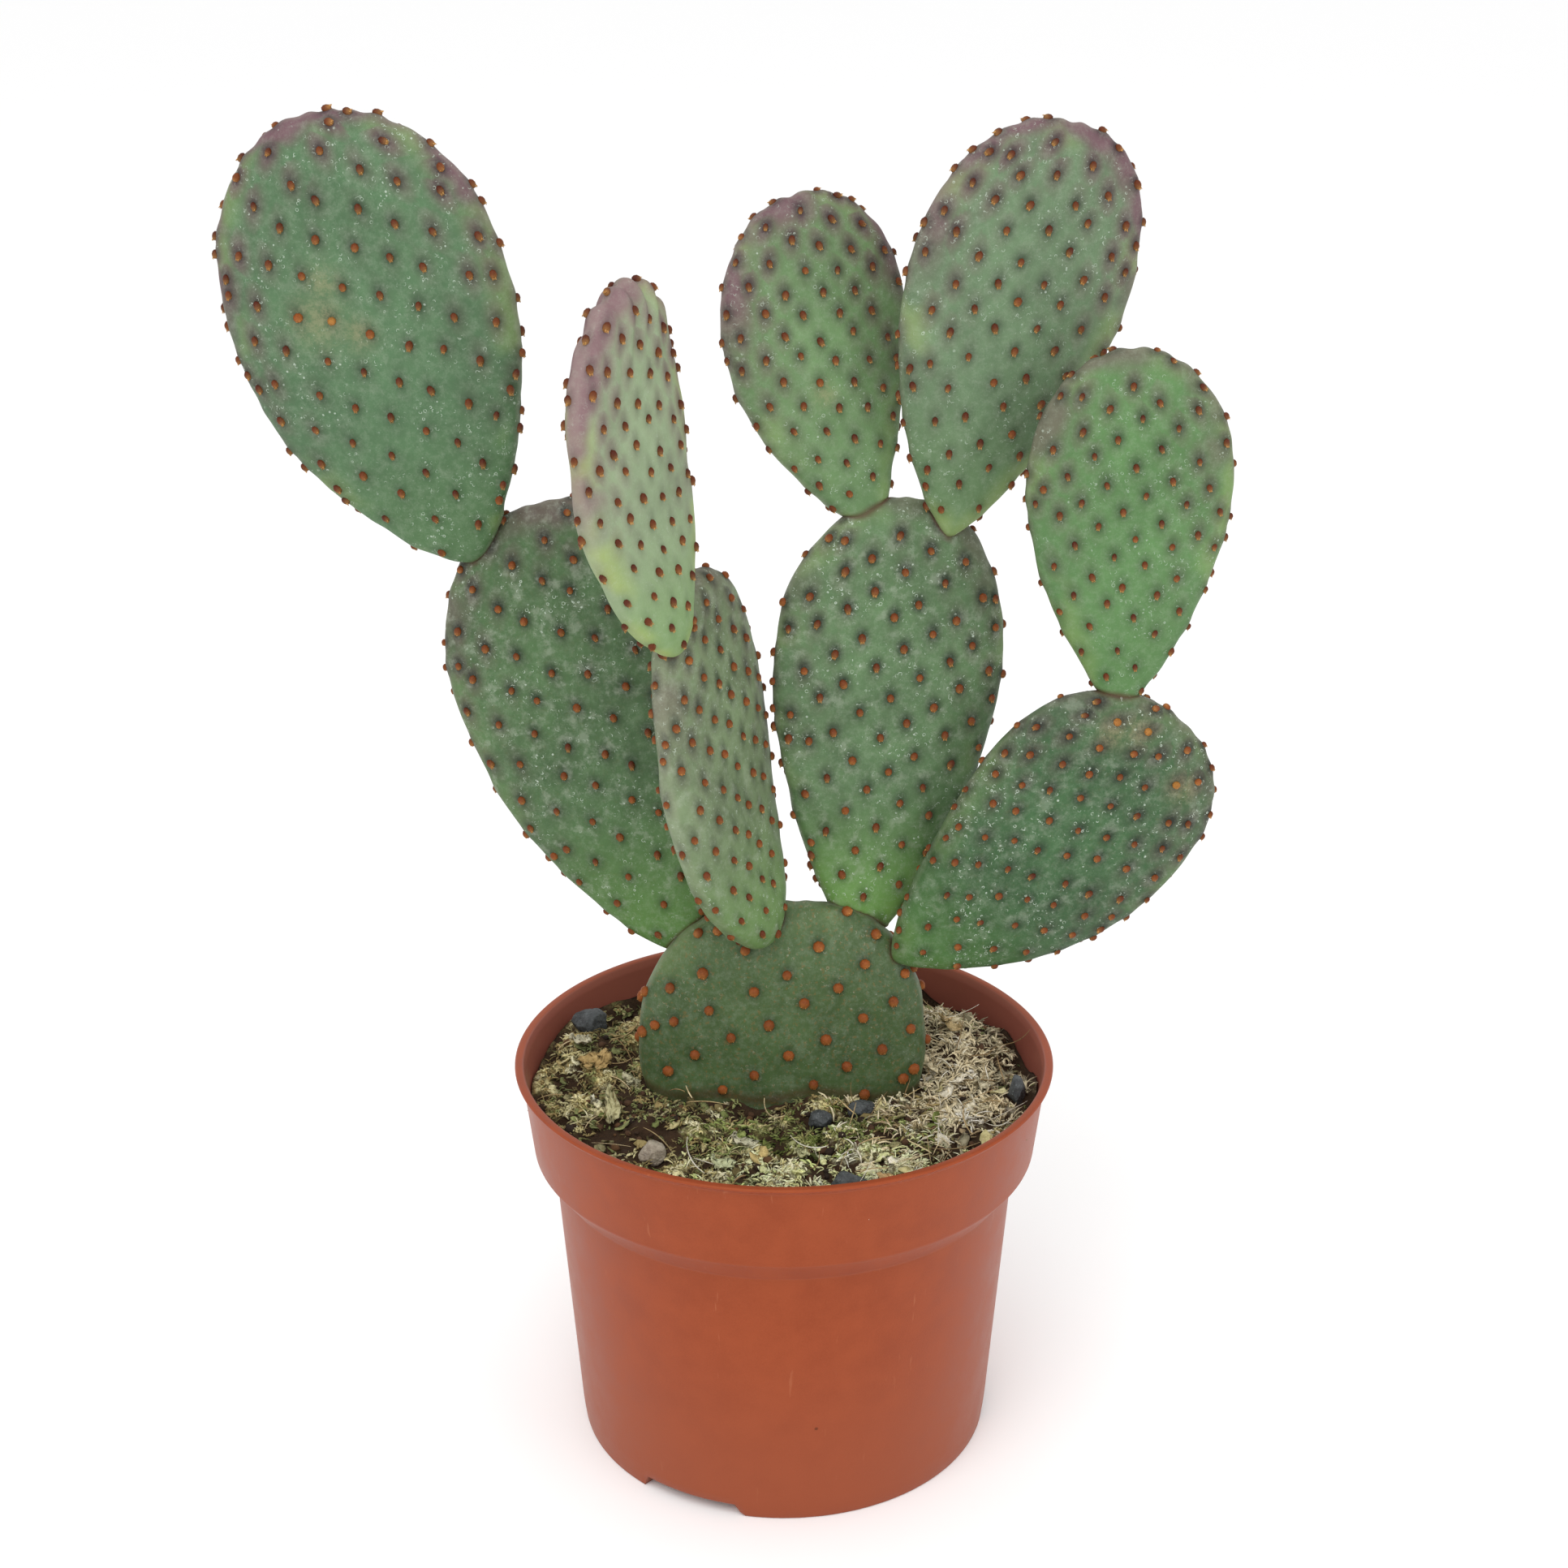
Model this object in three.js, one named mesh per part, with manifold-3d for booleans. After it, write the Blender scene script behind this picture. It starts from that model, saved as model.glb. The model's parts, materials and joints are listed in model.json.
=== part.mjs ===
// A potted paddle cactus: ten flat pads growing from one another, in a round nursery pot filled with
// potting mix. Millimetres, +Z up, the viewer's side is -Y. The origin is the middle of the pot's foot.

import * as THREE from "three";
import { mergeVertices } from "three/addons/utils/BufferGeometryUtils.js";
import Module from "manifold-3d";

const wasm = await Module();
wasm.setup();

// ---------------------------------------------------------------- driving dimensions

const SEAT_GAP = 0.3; // clearance where one piece sits on or in another

const POT = {
  wall: 1.1,
  rimRadius: 65,
  rimHeight: 98.4,
  lipDepth: 2,
  lipOverhang: 1.7,
  lipEdge: 0.5, // rounding of the lip
  collarFootRadius: 60.9,
  collarFootHeight: 76.2,
  shoulderRadius: 56,
  shoulderHeight: 70,
  footRadius: 50.7,
  footBevel: 0.5,
  segments: 44,
  color: 0xa85538,
};

const POCKET = {
  count: 3,
  firstAzimuth: -116.7, // degrees; the one that shows, left of the front
  halfWidth: 14.5, // degrees
  innerRadius: 38,
  height: 3,
  sideWall: 1.5, // degrees of roof beyond each side of the pocket
  steps: 6, // straight pieces of each of its arcs
  holeRadius: 2.2,
  holeSides: 12,
  holeSpread: 7, // degrees either side of the pocket's middle
};

const SOIL = {
  level: 90,
  segments: 36,
  rings: 7,
  color: 0x6b5f48,
  lumps: [
    // height, wave across X, wave across Y, shift: the uneven crust, in mm and radians per mm
    { height: 1.3, acrossX: 0.13, acrossY: 0.07, shift: 0.4 },
    { height: 1.1, acrossX: -0.09, acrossY: 0.16, shift: 2.1 },
    { height: 0.7, acrossX: 0.27, acrossY: -0.22, shift: 4.0 },
  ],
  heaps: [
    // where the crust lies higher: place, rise and spread
    { x: 37, y: 15, rise: 6, spread: 14.5 },
    { x: -44, y: 20, rise: 3, spread: 15 },
    { x: -30, y: -44, rise: -1.5, spread: 12 },
  ],
};

const ROOT = { topHeight: 62, tipHeight: 34, topRadius: 6, tipRadius: 1.6, sides: 8 };

const PAD_MESH = { sides: 16, rings: 12 };
const SECTION_POWER = 2.6; // 2 is an ellipse; more makes flatter faces and a blunter rim
const NECK_THICKNESS = 0.75; // the pad's thickness at its two ends, as a share of its middle
const END_ROUNDING = 0.9; // depth of the rounding of the two ends, as a share of the thickness

const AREOLE = {
  radius: 2, // half the width of the tuft at its widest, just under the skin
  widestDepth: 0.4,
  height: 1.5,
  rootDepth: 2.6,
  sides: 3,
  clearance: 2.6, // none grows within this distance of a neighbouring pad
};
const GOLDEN_TURN = 0.381966; // share of a full turn from one areole to the next

// Each pad: where its lower end is rooted, how far it leans to the right, tilts back and turns its
// right edge towards the viewer (degrees), its size, and how its outline narrows towards the base
// (baseTaper) and rounds over at the tip (tipRound). bow, sway and cup bend its midline sideways,
// in an S, and towards the viewer (mm).
const PADS = [
  {
    name: "base_pad", root: [0, 0, 54], lean: 2, tilt: 0, turn: 0,
    length: 84.5, width: 69, thickness: 18, baseTaper: 0.55, tipRound: 0.4,
    bow: -2, sway: 0.5, cup: 0, areoles: 62, spiral: 1, start: 0.1, tuftScale: 1.25, color: 0x4f7a5a,
  },
  {
    name: "left_lower_pad", parent: "base_pad", root: [-22.5, 5, 122.5],
    lean: -17, tilt: 5, turn: 4,
    length: 114.5, width: 63.5, thickness: 11, baseTaper: 0.75, tipRound: 0.4,
    bow: -3, sway: -0.5, cup: 0, areoles: 64, spiral: -1, start: 0.3, tuftScale: 1, color: 0x4c7d5c,
  },
  {
    name: "left_upper_pad", parent: "left_lower_pad", root: [-71, 13, 218],
    lean: -18.5, tilt: 1, turn: 8,
    length: 105.5, width: 66.5, thickness: 10, baseTaper: 0.75, tipRound: 0.5,
    bow: -1.5, sway: -1, cup: 1, areoles: 64, spiral: 1, start: 0.6, tuftScale: 1, color: 0x5f8f6c,
  },
  {
    name: "turned_lower_pad", parent: "base_pad", root: [-4, -8.5, 131.5],
    lean: -10.5, tilt: 1, turn: -60,
    length: 91.5, width: 42, thickness: 10.5, baseTaper: 0.5, tipRound: 0.4,
    bow: -2.5, sway: -1.5, cup: -2, areoles: 62, spiral: 1, start: 0.2, tuftScale: 1, color: 0x64876a,
  },
  {
    name: "turned_upper_pad", parent: "turned_lower_pad", root: [-24, -22, 207],
    lean: -6.5, tilt: -2, turn: -60,
    length: 83, width: 41, thickness: 9.5, baseTaper: 0.6, tipRound: 0.45,
    bow: -2, sway: 0, cup: -3, areoles: 62, spiral: -1, start: 0.8, tuftScale: 1, color: 0x86a47c,
  },
  {
    name: "centre_lower_pad", parent: "base_pad", root: [17.5, 4, 122], lean: 5.5, tilt: 4, turn: -10,
    length: 112.5, width: 54, thickness: 11, baseTaper: 0.95, tipRound: 0.5,
    bow: 0, sway: 0.5, cup: 0, areoles: 64, spiral: 1, start: 0.5, tuftScale: 1, color: 0x4d7f5c,
  },
  {
    name: "centre_left_pad", parent: "centre_lower_pad", root: [22, 11, 224.5],
    lean: -14.5, tilt: 5, turn: -22,
    length: 79, width: 44, thickness: 9, baseTaper: 0.95, tipRound: 0.5,
    bow: -3.5, sway: -1, cup: -1, areoles: 56, spiral: 1, start: 0.9, tuftScale: 1, color: 0x5f8b66,
  },
  {
    name: "centre_right_pad", parent: "centre_lower_pad", root: [37, 10, 225],
    lean: 15.5, tilt: 0, turn: -15,
    length: 95.5, width: 51.5, thickness: 9, baseTaper: 0.8, tipRound: 0.45,
    bow: -1.5, sway: 0, cup: 0, areoles: 62, spiral: -1, start: 0.4, tuftScale: 1, color: 0x6c8f70,
  },
  {
    name: "right_lower_pad", parent: "base_pad", root: [25.5, -3.5, 125], lean: 47.5, tilt: -2, turn: -5,
    length: 89.5, width: 54.5, thickness: 11, baseTaper: 0.8, tipRound: 0.45,
    bow: 2.5, sway: 1.5, cup: 0, areoles: 60, spiral: 1, start: 0.7, tuftScale: 1, color: 0x4f7f5f,
  },
  {
    name: "right_upper_pad", parent: "right_lower_pad", root: [75.5, -6, 186], lean: 0, tilt: 0, turn: -2,
    length: 86, width: 45.5, thickness: 8.5, baseTaper: 1, tipRound: 0.55,
    bow: 0.5, sway: 0, cup: 0, areoles: 56, spiral: 1, start: 0.15, tuftScale: 1, color: 0x6fa06c,
  },
];

// Loose stones, bedded in the crust: place, half sizes and turn about the upright.
const STONES = [
  { name: "lava_stone_back_left", at: [-49, 26], size: [4.6, 3.8, 3.6], turn: 20, color: 0x3b4046 },
  { name: "lava_stone_by_pad_right", at: [18.5, -15], size: [3.4, 2.6, 2.4], turn: 10, color: 0x3b4046 },
  { name: "lava_stone_by_pad_middle", at: [8.5, -17.5], size: [2.8, 3, 2.2], turn: 70, color: 0x34383d },
  { name: "lava_stone_front", at: [14.5, -45.5], size: [4.4, 2.6, 2.6], turn: -8, color: 0x34383d },
  { name: "lava_stone_right", at: [55.5, -10.5], size: [2, 3.4, 3.8], turn: 12, color: 0x4a4d50 },
  { name: "pale_pebble", at: [-30.5, -34], size: [3.2, 2.8, 3], turn: 35, color: 0x9a8f80 },
];
const STONE_ROUGHNESS = 0.16; // how far a stone's corners stray, as a share of its size
const STONE_STAND = 0.3; // how far its middle is above the crust, as a share of its half height

const ROUGHNESS = { skin: 0.6, soil: 1, stone: 0.9, pot: 0.45 };

// ---------------------------------------------------------------- general helpers

function radians(degrees) {
  return THREE.MathUtils.degToRad(degrees);
}

/** A repeatable stream of numbers from 0 to 1. */
function seededStream(seed) {
  let state = seed;
  return () => {
    state = (state * 1664525 + 1013904223) % 4294967296;
    return state / 4294967296;
  };
}

/** A copy of a geometry whose faces share their corners. */
function joined(geometry) {
  const bare = geometry.clone();
  bare.deleteAttribute("normal");
  bare.deleteAttribute("uv");
  return mergeVertices(bare, 1e-4);
}

/** A closed geometry as a solid that can be joined and cut. */
function toSolid(geometry) {
  const merged = joined(geometry);
  return new wasm.Manifold(
    new wasm.Mesh({
      numProp: 3,
      vertProperties: Float32Array.from(merged.attributes.position.array),
      triVerts: Uint32Array.from(merged.index.array),
    }),
  );
}

/** A solid as a geometry for a mesh. */
function toGeometry(solid) {
  const mesh = solid.getMesh();
  const geometry = new THREE.BufferGeometry();
  geometry.setAttribute("position", new THREE.BufferAttribute(mesh.vertProperties, 3));
  geometry.setIndex(new THREE.BufferAttribute(mesh.triVerts, 1));
  return geometry;
}

/** The largest connected piece of a solid, so that a cut leaves no loose scrap. */
function largestPiece(solid) {
  const pieces = solid.decompose();
  return pieces.reduce((best, piece) => (piece.volume() > best.volume() ? piece : best));
}

/** A closed geometry with every corner moved outwards by `distance`. */
function grown(geometry, distance) {
  const form = joined(geometry);
  form.computeVertexNormals();
  const spots = form.attributes.position;
  const normals = form.attributes.normal;
  for (let i = 0; i < spots.count; i += 1) {
    spots.setXYZ(
      i,
      spots.getX(i) + normals.getX(i) * distance,
      spots.getY(i) + normals.getY(i) * distance,
      spots.getZ(i) + normals.getZ(i) * distance,
    );
  }
  return form;
}

/** A turned solid from a profile of [radius, height] pairs, upright on the origin. */
function turned(profile, segments) {
  const points = profile.map(([radius, height]) => new THREE.Vector2(radius, height));
  return new THREE.LatheGeometry(points, segments).rotateX(Math.PI / 2);
}

// ---------------------------------------------------------------- pad form

/** The pad's own directions: along it, across it to the right, and out of its front face. */
function padAxes(pad) {
  const lean = radians(pad.lean);
  const tilt = radians(pad.tilt);
  const turn = radians(pad.turn);
  const along = new THREE.Vector3(
    Math.sin(lean) * Math.cos(tilt),
    Math.sin(tilt),
    Math.cos(lean) * Math.cos(tilt),
  );
  const front = new THREE.Vector3(0, -1, 0);
  front.addScaledVector(along, -front.dot(along)).normalize();
  const right = new THREE.Vector3().crossVectors(along, front);
  const across = right.multiplyScalar(Math.cos(turn)).addScaledVector(front, Math.sin(turn));
  const face = new THREE.Vector3().crossVectors(across, along);
  return { along, across, face };
}

/** Half the pad's width at a share (0 to 1) of its length. */
function halfWidth(pad, share) {
  const widest = pad.baseTaper / (pad.baseTaper + pad.tipRound);
  const rise = (share / widest) ** pad.baseTaper;
  const fall = ((1 - share) / (1 - widest)) ** pad.tipRound;
  return (pad.width / 2) * rise * fall;
}

/** How much of its thickness the pad has at a distance from one of its ends. */
function endRounding(pad, distance) {
  const inside = Math.min(distance / (END_ROUNDING * pad.thickness), 1);
  return Math.sqrt(1 - (1 - inside) ** 2);
}

/** Half the pad's thickness at a share of its length. */
function halfThickness(pad, share) {
  const body = NECK_THICKNESS + (1 - NECK_THICKNESS) * Math.sin(Math.PI * share);
  const ends = endRounding(pad, share * pad.length) * endRounding(pad, (1 - share) * pad.length);
  return (pad.thickness / 2) * body * ends;
}

/** The shift of the pad's midline, sideways and out of its face. */
function midlineShift(pad, share) {
  const arch = 4 * share * (1 - share);
  return {
    side: pad.bow * arch + pad.sway * Math.sin(2 * Math.PI * share),
    out: pad.cup * arch,
  };
}

/** A point of the pad's skin at a share of its length and an angle round its section. */
function skinPoint(pad, share, angle) {
  const { along, across, face } = padAxes(pad);
  const c = Math.cos(angle);
  const s = Math.sin(angle);
  const reach = (Math.abs(c) ** SECTION_POWER + Math.abs(s) ** SECTION_POWER) ** (-1 / SECTION_POWER);
  const shift = midlineShift(pad, share);
  return new THREE.Vector3(...pad.root)
    .addScaledVector(along, share * pad.length)
    .addScaledVector(across, shift.side + halfWidth(pad, share) * reach * c)
    .addScaledVector(face, shift.out + halfThickness(pad, share) * reach * s);
}

/** Whether a point lies inside the pad or within `margin` of it. */
function nearPad(pad, point, margin) {
  const { along, across, face } = padAxes(pad);
  const offset = point.clone().sub(new THREE.Vector3(...pad.root));
  const height = offset.dot(along);
  if (height < -margin || height > pad.length + margin) return false;
  const share = THREE.MathUtils.clamp(height / pad.length, 0, 1);
  const shift = midlineShift(pad, share);
  const side = Math.abs(offset.dot(across) - shift.side) / (halfWidth(pad, share) + margin);
  const out = Math.abs(offset.dot(face) - shift.out) / (halfThickness(pad, share) + margin);
  return side ** SECTION_POWER + out ** SECTION_POWER < 1;
}

/** The pad's smooth body: a ball drawn out to the pad's form. */
function padBody(pad) {
  const ball = new THREE.SphereGeometry(1, PAD_MESH.sides, PAD_MESH.rings);
  const spots = ball.attributes.position;
  for (let i = 0; i < spots.count; i += 1) {
    const share = THREE.MathUtils.clamp((1 + spots.getY(i)) / 2, 0, 1);
    const point = skinPoint(pad, share, Math.atan2(spots.getZ(i), spots.getX(i)));
    spots.setXYZ(i, point.x, point.y, point.z);
  }
  return ball;
}

// ---------------------------------------------------------------- areoles

/** The skin measured ring by ring: the area below each ring and the arc length round it. */
function skinTable(pad) {
  const ringCount = 60;
  const stepCount = 48;
  const rings = [];
  let area = 0;
  for (let i = 0; i <= ringCount; i += 1) {
    const share = i / ringCount;
    const arc = [0];
    let last = skinPoint(pad, share, 0);
    for (let j = 1; j <= stepCount; j += 1) {
      const next = skinPoint(pad, share, (2 * Math.PI * j) / stepCount);
      arc.push(arc[j - 1] + last.distanceTo(next));
      last = next;
    }
    area += arc[stepCount] * (pad.length / ringCount);
    rings.push({ share, arc, area });
  }
  return rings;
}

/** The angle of the skin point that lies a share of the way round a ring. */
function angleAtArc(ring, turnShare) {
  const target = turnShare * ring.arc[ring.arc.length - 1];
  const next = Math.max(1, ring.arc.findIndex((length) => length >= target));
  const span = ring.arc[next] - ring.arc[next - 1];
  const part = span > 0 ? (target - ring.arc[next - 1]) / span : 0;
  return (2 * Math.PI * (next - 1 + part)) / (ring.arc.length - 1);
}

/** Where the pad's areoles stand: a spiral with the golden turn, even over the skin's area. */
function areoleSpots(pad) {
  const rings = skinTable(pad);
  const whole = rings[rings.length - 1].area;
  const spots = [];
  for (let i = 0; i < pad.areoles; i += 1) {
    const below = (whole * (i + 0.5)) / pad.areoles;
    const ring = rings.find((candidate) => candidate.area >= below);
    const turnShare = THREE.MathUtils.euclideanModulo(pad.start + pad.spiral * i * GOLDEN_TURN, 1);
    const angle = angleAtArc(ring, turnShare);
    const point = skinPoint(pad, ring.share, angle);
    const step = 0.01;
    const round = skinPoint(pad, ring.share, angle + step).sub(skinPoint(pad, ring.share, angle - step));
    const up = skinPoint(pad, Math.min(ring.share + step, 0.999), angle);
    up.sub(skinPoint(pad, Math.max(ring.share - step, 0.001), angle));
    const out = new THREE.Vector3().crossVectors(up, round).normalize();
    spots.push({ point, out });
  }
  return spots;
}

/** One areole's tuft: pointed above the skin and at its sunk root. */
function tuft(spot, scale) {
  const { radius, widestDepth, height, rootDepth, sides } = AREOLE;
  const profile = [
    [0, -rootDepth],
    [radius, -widestDepth],
    [0, height],
  ];
  const form = turned(profile.map(([r, h]) => [r * scale, h * scale]), sides);
  const upright = new THREE.Quaternion().setFromUnitVectors(new THREE.Vector3(0, 0, 1), spot.out);
  form.applyQuaternion(upright);
  form.translate(spot.point.x, spot.point.y, spot.point.z);
  return form;
}

// ---------------------------------------------------------------- sub-parts

/** The height of the soil's crust at a place in the pot. */
function soilHeight(x, y) {
  let height = SOIL.level;
  for (const lump of SOIL.lumps) {
    height += lump.height * Math.sin(lump.acrossX * x + lump.acrossY * y + lump.shift);
  }
  for (const heap of SOIL.heaps) {
    const distance = Math.hypot(x - heap.x, y - heap.y) / heap.spread;
    height += heap.rise * Math.exp(-distance * distance);
  }
  return height;
}

/** The inside of the pot from its floor to its lip, with `gap` left in front of the wall. */
function insideProfile(gap) {
  const inwards = -POT.wall - gap;
  const upwards = POT.wall / 2 + gap;
  return [
    [POT.footRadius + inwards, POT.wall + gap],
    ...shoulder(inwards, upwards),
    [POT.rimRadius - POT.lipOverhang + inwards, POT.rimHeight - POT.lipDepth],
  ];
}

/** The slope from the body out to the collar's foot, moved in and up by the given amounts. */
function shoulder(inwards, upwards) {
  return [
    [POT.shoulderRadius + inwards, POT.shoulderHeight + upwards],
    [POT.collarFootRadius + inwards, POT.collarFootHeight + upwards],
  ];
}

/** A sector of a ring, from `bottom` to `top`, centred on an azimuth. */
function ringSector(azimuth, halfAngle, inner, outer, bottom, top) {
  const outline = new THREE.Shape();
  const from = radians(azimuth - halfAngle);
  const to = radians(azimuth + halfAngle);
  outline.absarc(0, 0, outer, from, to, false);
  outline.absarc(0, 0, inner, to, from, true);
  outline.closePath();
  const options = { depth: top - bottom, bevelEnabled: false, curveSegments: POCKET.steps };
  return new THREE.ExtrudeGeometry(outline, options).translate(0, 0, bottom);
}

/** The azimuths of the foot's pockets, evenly round it. */
function pocketAzimuths() {
  return Array.from({ length: POCKET.count }, (_, i) => POCKET.firstAzimuth + (360 / POCKET.count) * i);
}

/** The raised roof of a foot pocket, grown by `extra` on its free sides. */
function pocketRoof(azimuth, extra) {
  return ringSector(
    azimuth,
    POCKET.halfWidth + POCKET.sideWall + extra,
    POCKET.innerRadius - POT.wall - extra,
    POT.footRadius - POT.wall / 2 + extra,
    POT.wall / 2,
    POCKET.height + POT.wall + extra,
  );
}

/** The holes that drain a foot pocket, as cutting forms. */
function drainHoles(azimuth) {
  return [-1, 1].map((side) => {
    const holeAzimuth = radians(azimuth + side * POCKET.holeSpread);
    const distance = (POCKET.innerRadius + POT.footRadius) / 2;
    const { holeRadius, holeSides } = POCKET;
    const hole = new THREE.CylinderGeometry(holeRadius, holeRadius, 4 * POT.wall, holeSides);
    hole.rotateX(Math.PI / 2);
    return hole.translate(
      distance * Math.cos(holeAzimuth),
      distance * Math.sin(holeAzimuth),
      POCKET.height + POT.wall / 2,
    );
  });
}

/** The pot, one moulding with its pockets and drain holes. */
function potSolid() {
  const lipRadius = POT.rimRadius - POT.lipOverhang;
  const lipFoot = POT.rimHeight - POT.lipDepth;
  const inside = insideProfile(0).reverse();
  const profile = [
    [0, 0],
    [POT.footRadius - POT.footBevel, 0],
    [POT.footRadius, POT.footBevel],
    ...shoulder(0, 0),
    [lipRadius, lipFoot],
    [POT.rimRadius - POT.lipEdge, POT.rimHeight - POT.lipDepth / 2],
    [POT.rimRadius, POT.rimHeight - POT.lipEdge],
    [POT.rimRadius - POT.lipEdge, POT.rimHeight],
    [lipRadius - POT.wall / 2, POT.rimHeight],
    ...inside,
    [0, POT.wall],
  ];
  let pot = toSolid(turned(profile, POT.segments));
  for (const azimuth of pocketAzimuths()) {
    pot = pot.add(toSolid(pocketRoof(azimuth, 0)));
  }
  for (const azimuth of pocketAzimuths()) {
    const beyondWall = 2 * POT.footRadius;
    const { halfWidth: halfAngle, innerRadius, height } = POCKET;
    const pocket = ringSector(azimuth, halfAngle, innerRadius, beyondWall, -height, height);
    pot = pot.subtract(toSolid(pocket));
    for (const hole of drainHoles(azimuth)) {
      pot = pot.subtract(toSolid(hole));
    }
  }
  return pot;
}

/** The root stub under the base pad, grown outwards by `extra`. */
function rootStub(extra) {
  const profile = [
    [0, ROOT.tipHeight - extra],
    [ROOT.tipRadius + extra, ROOT.tipHeight - extra],
    [ROOT.topRadius + extra, ROOT.topHeight],
    [0, ROOT.topHeight],
  ];
  return turned(profile, ROOT.sides);
}

/** A stone: a faceted lump with its corners moved by a seeded draw. */
function stoneForm(stone, seed) {
  const form = joined(new THREE.DodecahedronGeometry(1, 0));
  const draw = seededStream(seed);
  const spots = form.attributes.position;
  for (let i = 0; i < spots.count; i += 1) {
    const reach = 1 + STONE_ROUGHNESS * (2 * draw() - 1);
    spots.setXYZ(
      i,
      spots.getX(i) * reach * stone.size[0],
      spots.getY(i) * reach * stone.size[1],
      spots.getZ(i) * reach * stone.size[2],
    );
  }
  const [x, y] = stone.at;
  form.rotateZ(radians(stone.turn));
  form.translate(x, y, soilHeight(x, y) + STONE_STAND * stone.size[2]);
  return form;
}

/** The soil's radius at the collar's wall, at a height. */
function soilRadius(height) {
  const [wallFoot, wallTop] = insideProfile(SEAT_GAP).slice(-2);
  const part = (height - wallFoot[1]) / (wallTop[1] - wallFoot[1]);
  return wallFoot[0] + part * (wallTop[0] - wallFoot[0]);
}

/** The soil: a plug that fills the pot up to its uneven crust. */
function soilSolid() {
  const wall = insideProfile(SEAT_GAP).slice(0, -1);
  const edgeRadius = soilRadius(SOIL.level);
  const crust = Array.from({ length: SOIL.rings + 1 }, (_, i) => {
    return [edgeRadius * (1 - i / SOIL.rings), SOIL.level];
  });
  const form = turned([[0, wall[0][1]], ...wall, ...crust], SOIL.segments);
  const spots = form.attributes.position;
  for (let i = 0; i < spots.count; i += 1) {
    if (spots.getZ(i) < SOIL.level - 1e-3) continue;
    const x = spots.getX(i);
    const y = spots.getY(i);
    const height = soilHeight(x, y);
    const atWall = Math.hypot(x, y) > edgeRadius - 1e-3;
    const fit = atWall ? soilRadius(height) / edgeRadius : 1;
    spots.setXYZ(i, x * fit, y * fit, height);
  }
  let soil = toSolid(form);
  for (const azimuth of pocketAzimuths()) {
    soil = soil.subtract(toSolid(pocketRoof(azimuth, SEAT_GAP)));
  }
  return soil;
}

// ---------------------------------------------------------------- assembly

const plant = new THREE.Group();

/** Adds a solid to the plant as a mesh of its own. */
function addMesh(name, solid, color, roughness) {
  const material = new THREE.MeshStandardMaterial({ color, roughness, metalness: 0 });
  const mesh = new THREE.Mesh(toGeometry(solid), material);
  mesh.name = name;
  plant.add(mesh);
}

const bodies = new Map(PADS.map((pad) => [pad.name, padBody(pad)]));

/** The pad with its tufts, cut back to a hairline gap from the pad it grows from. */
function padSolid(pad) {
  let solid = toSolid(bodies.get(pad.name));
  if (!pad.parent) solid = solid.add(toSolid(rootStub(0)));
  const others = PADS.filter((other) => other !== pad);
  for (const spot of areoleSpots(pad)) {
    const { point } = spot;
    const buried = point.z < soilHeight(point.x, point.y) + AREOLE.radius;
    if (buried || others.some((other) => nearPad(other, point, AREOLE.clearance))) continue;
    solid = solid.add(toSolid(tuft(spot, pad.tuftScale)));
  }
  if (pad.parent) solid = solid.subtract(toSolid(grown(bodies.get(pad.parent), SEAT_GAP)));
  return largestPiece(solid);
}

for (const pad of PADS) {
  addMesh(pad.name, padSolid(pad), pad.color, ROUGHNESS.skin);
}

let soil = soilSolid();
soil = soil.subtract(toSolid(grown(bodies.get("base_pad"), SEAT_GAP)));
soil = soil.subtract(toSolid(rootStub(SEAT_GAP)));
STONES.forEach((stone, i) => {
  const form = stoneForm(stone, i + 1);
  soil = soil.subtract(toSolid(grown(form, SEAT_GAP)));
  addMesh(stone.name, toSolid(form), stone.color, ROUGHNESS.stone);
});
addMesh("soil", largestPiece(soil), SOIL.color, ROUGHNESS.soil);
addMesh("pot", potSolid(), POT.color, ROUGHNESS.pot);

export default plant;
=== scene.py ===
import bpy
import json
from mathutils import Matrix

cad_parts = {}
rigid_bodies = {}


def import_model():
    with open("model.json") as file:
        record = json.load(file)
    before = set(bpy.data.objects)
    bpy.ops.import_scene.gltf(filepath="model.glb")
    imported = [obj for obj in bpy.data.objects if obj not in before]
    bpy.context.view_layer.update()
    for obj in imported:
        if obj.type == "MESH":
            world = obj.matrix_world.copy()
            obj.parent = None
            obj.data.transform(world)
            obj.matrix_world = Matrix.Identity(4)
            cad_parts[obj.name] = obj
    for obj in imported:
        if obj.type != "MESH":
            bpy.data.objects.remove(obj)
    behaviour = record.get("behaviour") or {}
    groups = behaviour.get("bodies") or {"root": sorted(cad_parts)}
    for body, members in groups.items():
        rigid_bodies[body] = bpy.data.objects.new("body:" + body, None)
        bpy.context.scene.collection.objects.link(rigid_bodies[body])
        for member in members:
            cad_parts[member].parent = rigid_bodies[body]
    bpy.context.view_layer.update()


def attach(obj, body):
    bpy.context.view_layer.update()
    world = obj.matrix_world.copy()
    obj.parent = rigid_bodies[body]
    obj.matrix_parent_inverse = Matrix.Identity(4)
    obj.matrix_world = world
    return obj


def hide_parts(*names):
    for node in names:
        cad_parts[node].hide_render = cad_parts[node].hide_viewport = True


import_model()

import json
import math
import random
from types import SimpleNamespace as Sizes

import bmesh
import bpy
import numpy as np
from mathutils import Matrix, Vector, kdtree, noise

# A potted paddle cactus: ten flat pads on one another, rooted in potting mix in a nursery pot.
# Shapes are worked out in millimetres and written in metres, in the part's own frame: the origin
# is the middle of the pot's foot, +Z is up and -Y is the side that the photograph shows.

MM = 0.001
FULL_TURN = 2 * math.pi

# ---------------------------------------------------------------- sizes of the pieces


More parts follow.
